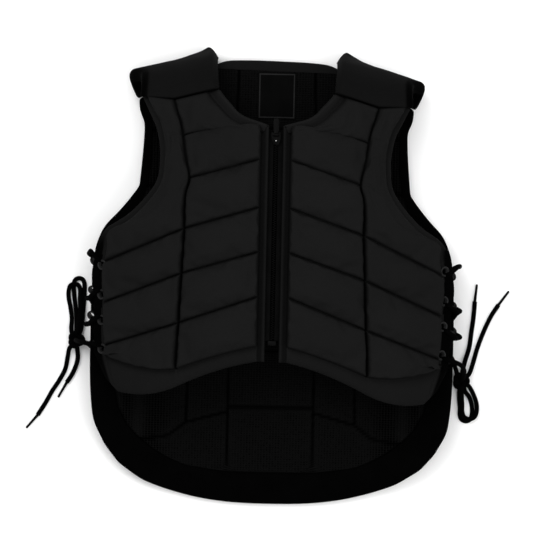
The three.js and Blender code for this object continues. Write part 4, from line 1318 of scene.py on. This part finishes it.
def ribbon(name, x0, x1, y0, y1, top, thickness, material, rounded=0.3 * MM):
    """A flat band that follows the fall of the fronts, with soft edges."""
    ys = np.linspace(y0, y1, int((y1 - y0) / (3 * MM)))
    xs = np.linspace(x0, x1, 7)
    grid = [[(x, y, zip_height(y) + top) for x in xs] for y in ys]
    under = [[(x, y, zip_height(y) + top - thickness) for x in xs] for y in ys]
    piece = shell_piece(name, grid, under, material)
    modified(piece, "BEVEL", width=rounded, segments=2, limit_method="ANGLE")
    return piece


class VEST_OT_zip(bpy.types.Operator):
    """Makes the zip: tapes, teeth, slider, pull and lower stop"""
    bl_idname = "vest.zip"
    bl_label = "Zip"

    def execute(self, context):
        black = dull_metal("black_lacquer", (0.0012, 0.0012, 0.0012), roughness=0.5)
        low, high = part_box("zip_tape_left")
        y0, y1 = low.y + 0.2 * MM, high.y - 0.2 * MM
        for name, side in SIDES:
            xs = sorted((side * 2.4 * MM, side * 14.6 * MM))
            tape = ribbon(f"zip_band_{name}", *xs, y0, y1, -0.4 * MM, 1.2 * MM,
                          plain_black("black_zip_tape", shade(tuple(colours().tape), 3.4), 0.6 * MM))
            finish_piece(tape, "tape_fabric", f"zip_tape_{name}")
        self.teeth()
        runner = self.rounded_copy("zip_slider", "zip_runner", black, 0.35 * MM)
        self.rounded_copy("zip_pull", "zip_tab", black, 0.25 * MM, body="pull")
        self.rounded_copy("zip_stop", "zip_end_box", black, 0.4 * MM)
        self.rivet(runner)
        return {"FINISHED"}

    def teeth(self):
        """Two rows of moulded teeth, each a bevelled block, meshed with the other row."""
        tooth = added("cube", size=1)
        bpy.ops.object.mode_set(mode="EDIT")
        bpy.ops.mesh.select_all(action="SELECT")
        bpy.ops.transform.resize(value=(2.5 * MM, 1.05 * MM, 2.0 * MM))
        bpy.ops.mesh.bevel(offset=0.3 * MM, segments=1)
        bpy.ops.object.mode_set(mode="OBJECT")
        low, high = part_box("zip_chain")
        pitch = sizes().tooth_pitch
        shapes = bmesh.new()
        rows = int((high.y - low.y) / pitch)
        for k in range(rows):
            for side in (1, -1):
                y = low.y + pitch * (k + 0.5 + 0.5 * (side > 0))
                if y > high.y:
                    continue
                mesh = tooth.data.copy()
                mesh.transform(Matrix.Translation((side * 0.75 * MM, y, zip_height(y) - 0.5 * MM)))
                shapes.from_mesh(mesh)
                bpy.data.meshes.remove(mesh)
        merged = bpy.data.meshes.new("zip_teeth")
        shapes.to_mesh(merged)
        shapes.free()
        merged.materials.append(moulded_plastic())
        piece = linked("zip_teeth", merged)
        bpy.data.objects.remove(tooth)
        finish_piece(piece, "zip_plastic", "zip_chain")

    def rounded_copy(self, node, name, material, width, body=BODY):
        """The model's own shape with its edges broken."""
        piece = model_copy(node, name, material)
        select_only(piece)
        bpy.ops.object.mode_set(mode="EDIT")
        bpy.ops.mesh.select_all(action="SELECT")
        bpy.ops.mesh.dissolve_limited(angle_limit=math.radians(3))
        bpy.ops.object.mode_set(mode="OBJECT")
        sharp = math.radians(40)
        modified(piece, "BEVEL", width=width, segments=2, limit_method="ANGLE", angle_limit=sharp)
        piece.data.shade_flat()
        select_only(piece)
        bpy.ops.object.shade_smooth_by_angle(angle=sharp)
        return finish_piece(piece, "zip_metal", node, body=body)

    def rivet(self, runner):
        """The bright head on the slider's crown."""
        low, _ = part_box("zip_slider")
        head = added("uv_sphere", segments=16, ring_count=8, radius=0.7 * MM,
                     location=(0, low.y + 4.4 * MM, low.z + 3.6 * MM))
        head.data.materials.append(dull_metal("bright_rivet", (0.4, 0.4, 0.4)))
        head.data.shade_smooth()
        joined(runner, head)


class VEST_OT_label(bpy.types.Operator):
    """Sews the bare woven label inside the neck"""
    bl_idname = "vest.label"
    bl_label = "Neck label"

    def execute(self, context):
        low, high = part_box("neck_label")
        cloth = plain_black("black_satin", (0.0021, 0.0021, 0.0021), 0.5 * MM)
        thread = plain_black("grey_thread", tuple(colours().border), 0.5 * MM)
        columns, rows = 33, 41
        grid, under = [], []
        for r in range(rows):
            y = low.y + (high.y - low.y) * r / (rows - 1)
            line, flat = [], []
            for c in range(columns):
                x = low.x + (high.x - low.x) * c / (columns - 1)
                wave = 0.35 * MM * noise.noise(Vector((x * 60, y * 60, 2.0)))
                line.append((x, y, high.z + 0.5 * MM + wave))
                flat.append((x, y, low.z + wave))
            grid.append(line)
            under.append(flat)
        piece = shell_piece("woven_label", grid, under, cloth, thread)
        inset, band = 0.8 * MM, 1.2 * MM

        def on_border(middle, normal):
            edge = min(middle.x - low.x, high.x - middle.x, middle.y - low.y, high.y - middle.y)
            return 1 if normal.z > 0.5 and inset < edge < inset + band else 0
        faces_by(piece, on_border)
        finish_piece(piece, "label_fabric", "neck_label")
        return {"FINISHED"}


class VEST_OT_stage(bpy.types.Operator):
    """Sets the floor, the soft light and the camera"""
    bl_idname = "vest.stage"
    bl_label = "Floor, light and camera"

    def execute(self, context):
        stage = context.scene.vest_stage
        floor = added("plane", size=80)
        floor.name = "floor"
        paint, _ = new_material("floor_paint", tuple(stage.floor), roughness=0.95, specular=0.1)
        floor.data.materials.append(paint)
        for name, place, size, power in (
                ("key_light", (-0.9, 1.3, 2.6), 1.6, 46), ("fill_light", (1.3, -0.6, 2.4), 1.8, 30),
                ("top_light", (0, 0.2, 3.2), 2.2, 40)):
            data = bpy.data.lights.new(name, "AREA")
            data.size, data.energy = size, power
            lamp = linked(name, data)
            lamp.location = place
            lamp.rotation_euler = (-Vector(place)).to_track_quat("-Z", "Y").to_euler()
            lamp.visible_camera = False
        world = bpy.data.worlds.new("pale_room")
        world.use_nodes = True
        world.node_tree.nodes["Background"].inputs["Color"].default_value = (1, 1, 1, 1)
        world.node_tree.nodes["Background"].inputs["Strength"].default_value = 0.55
        context.scene.world = world
        context.scene.view_settings.view_transform = "Standard"
        data = bpy.data.cameras.new("camera")
        data.sensor_width = 36
        centre = Vector(stage.view_centre)
        data.lens = data.sensor_width * (stage.height - centre.z) / stage.view_width
        data.clip_end = 120
        camera = linked("camera", data)
        camera.location = (centre.x, centre.y, stage.height)
        camera.rotation_euler = (0, 0, stage.roll)
        context.scene.camera = camera
        return {"FINISHED"}


class VEST_PT_sidebar(bpy.types.Panel):
    """The vest's pieces, sizes and colours"""
    bl_idname = "VEST_PT_sidebar"
    bl_label = "Riding body protector"
    bl_space_type = "VIEW_3D"
    bl_region_type = "UI"
    bl_category = "Vest"

    def draw(self, context):
        for operator in OPERATORS:
            self.layout.operator(operator.bl_idname)
        for group in (context.scene.vest_sizes, context.scene.vest_colours, context.scene.vest_stage):
            box = self.layout.box()
            for name in group.__annotations__:
                box.prop(group, name)


OPERATORS = (
    VEST_OT_stage, VEST_OT_bows, VEST_OT_side_laces, VEST_OT_fronts, VEST_OT_shoulders, VEST_OT_back,
    VEST_OT_lining, VEST_OT_label, VEST_OT_zip, VEST_OT_eyelets,
)
GROUPS = (("vest_sizes", VestSizes), ("vest_colours", VestColours), ("vest_stage", VestStage))


def register():
    for _, group in GROUPS:
        bpy.utils.register_class(group)
    for made in (*OPERATORS, VEST_PT_sidebar):
        bpy.utils.register_class(made)
    for name, group in GROUPS:
        setattr(bpy.types.Scene, name, PointerProperty(type=group))


def unregister():
    for name, _ in GROUPS:
        delattr(bpy.types.Scene, name)
    for made in (VEST_PT_sidebar, *reversed(OPERATORS), *[group for _, group in GROUPS]):
        bpy.utils.unregister_class(made)


def main():
    register()
    for operator in OPERATORS:
        group, name = operator.bl_idname.split(".")
        getattr(getattr(bpy.ops, group), name)()


if __name__ == "__main__":
    main()
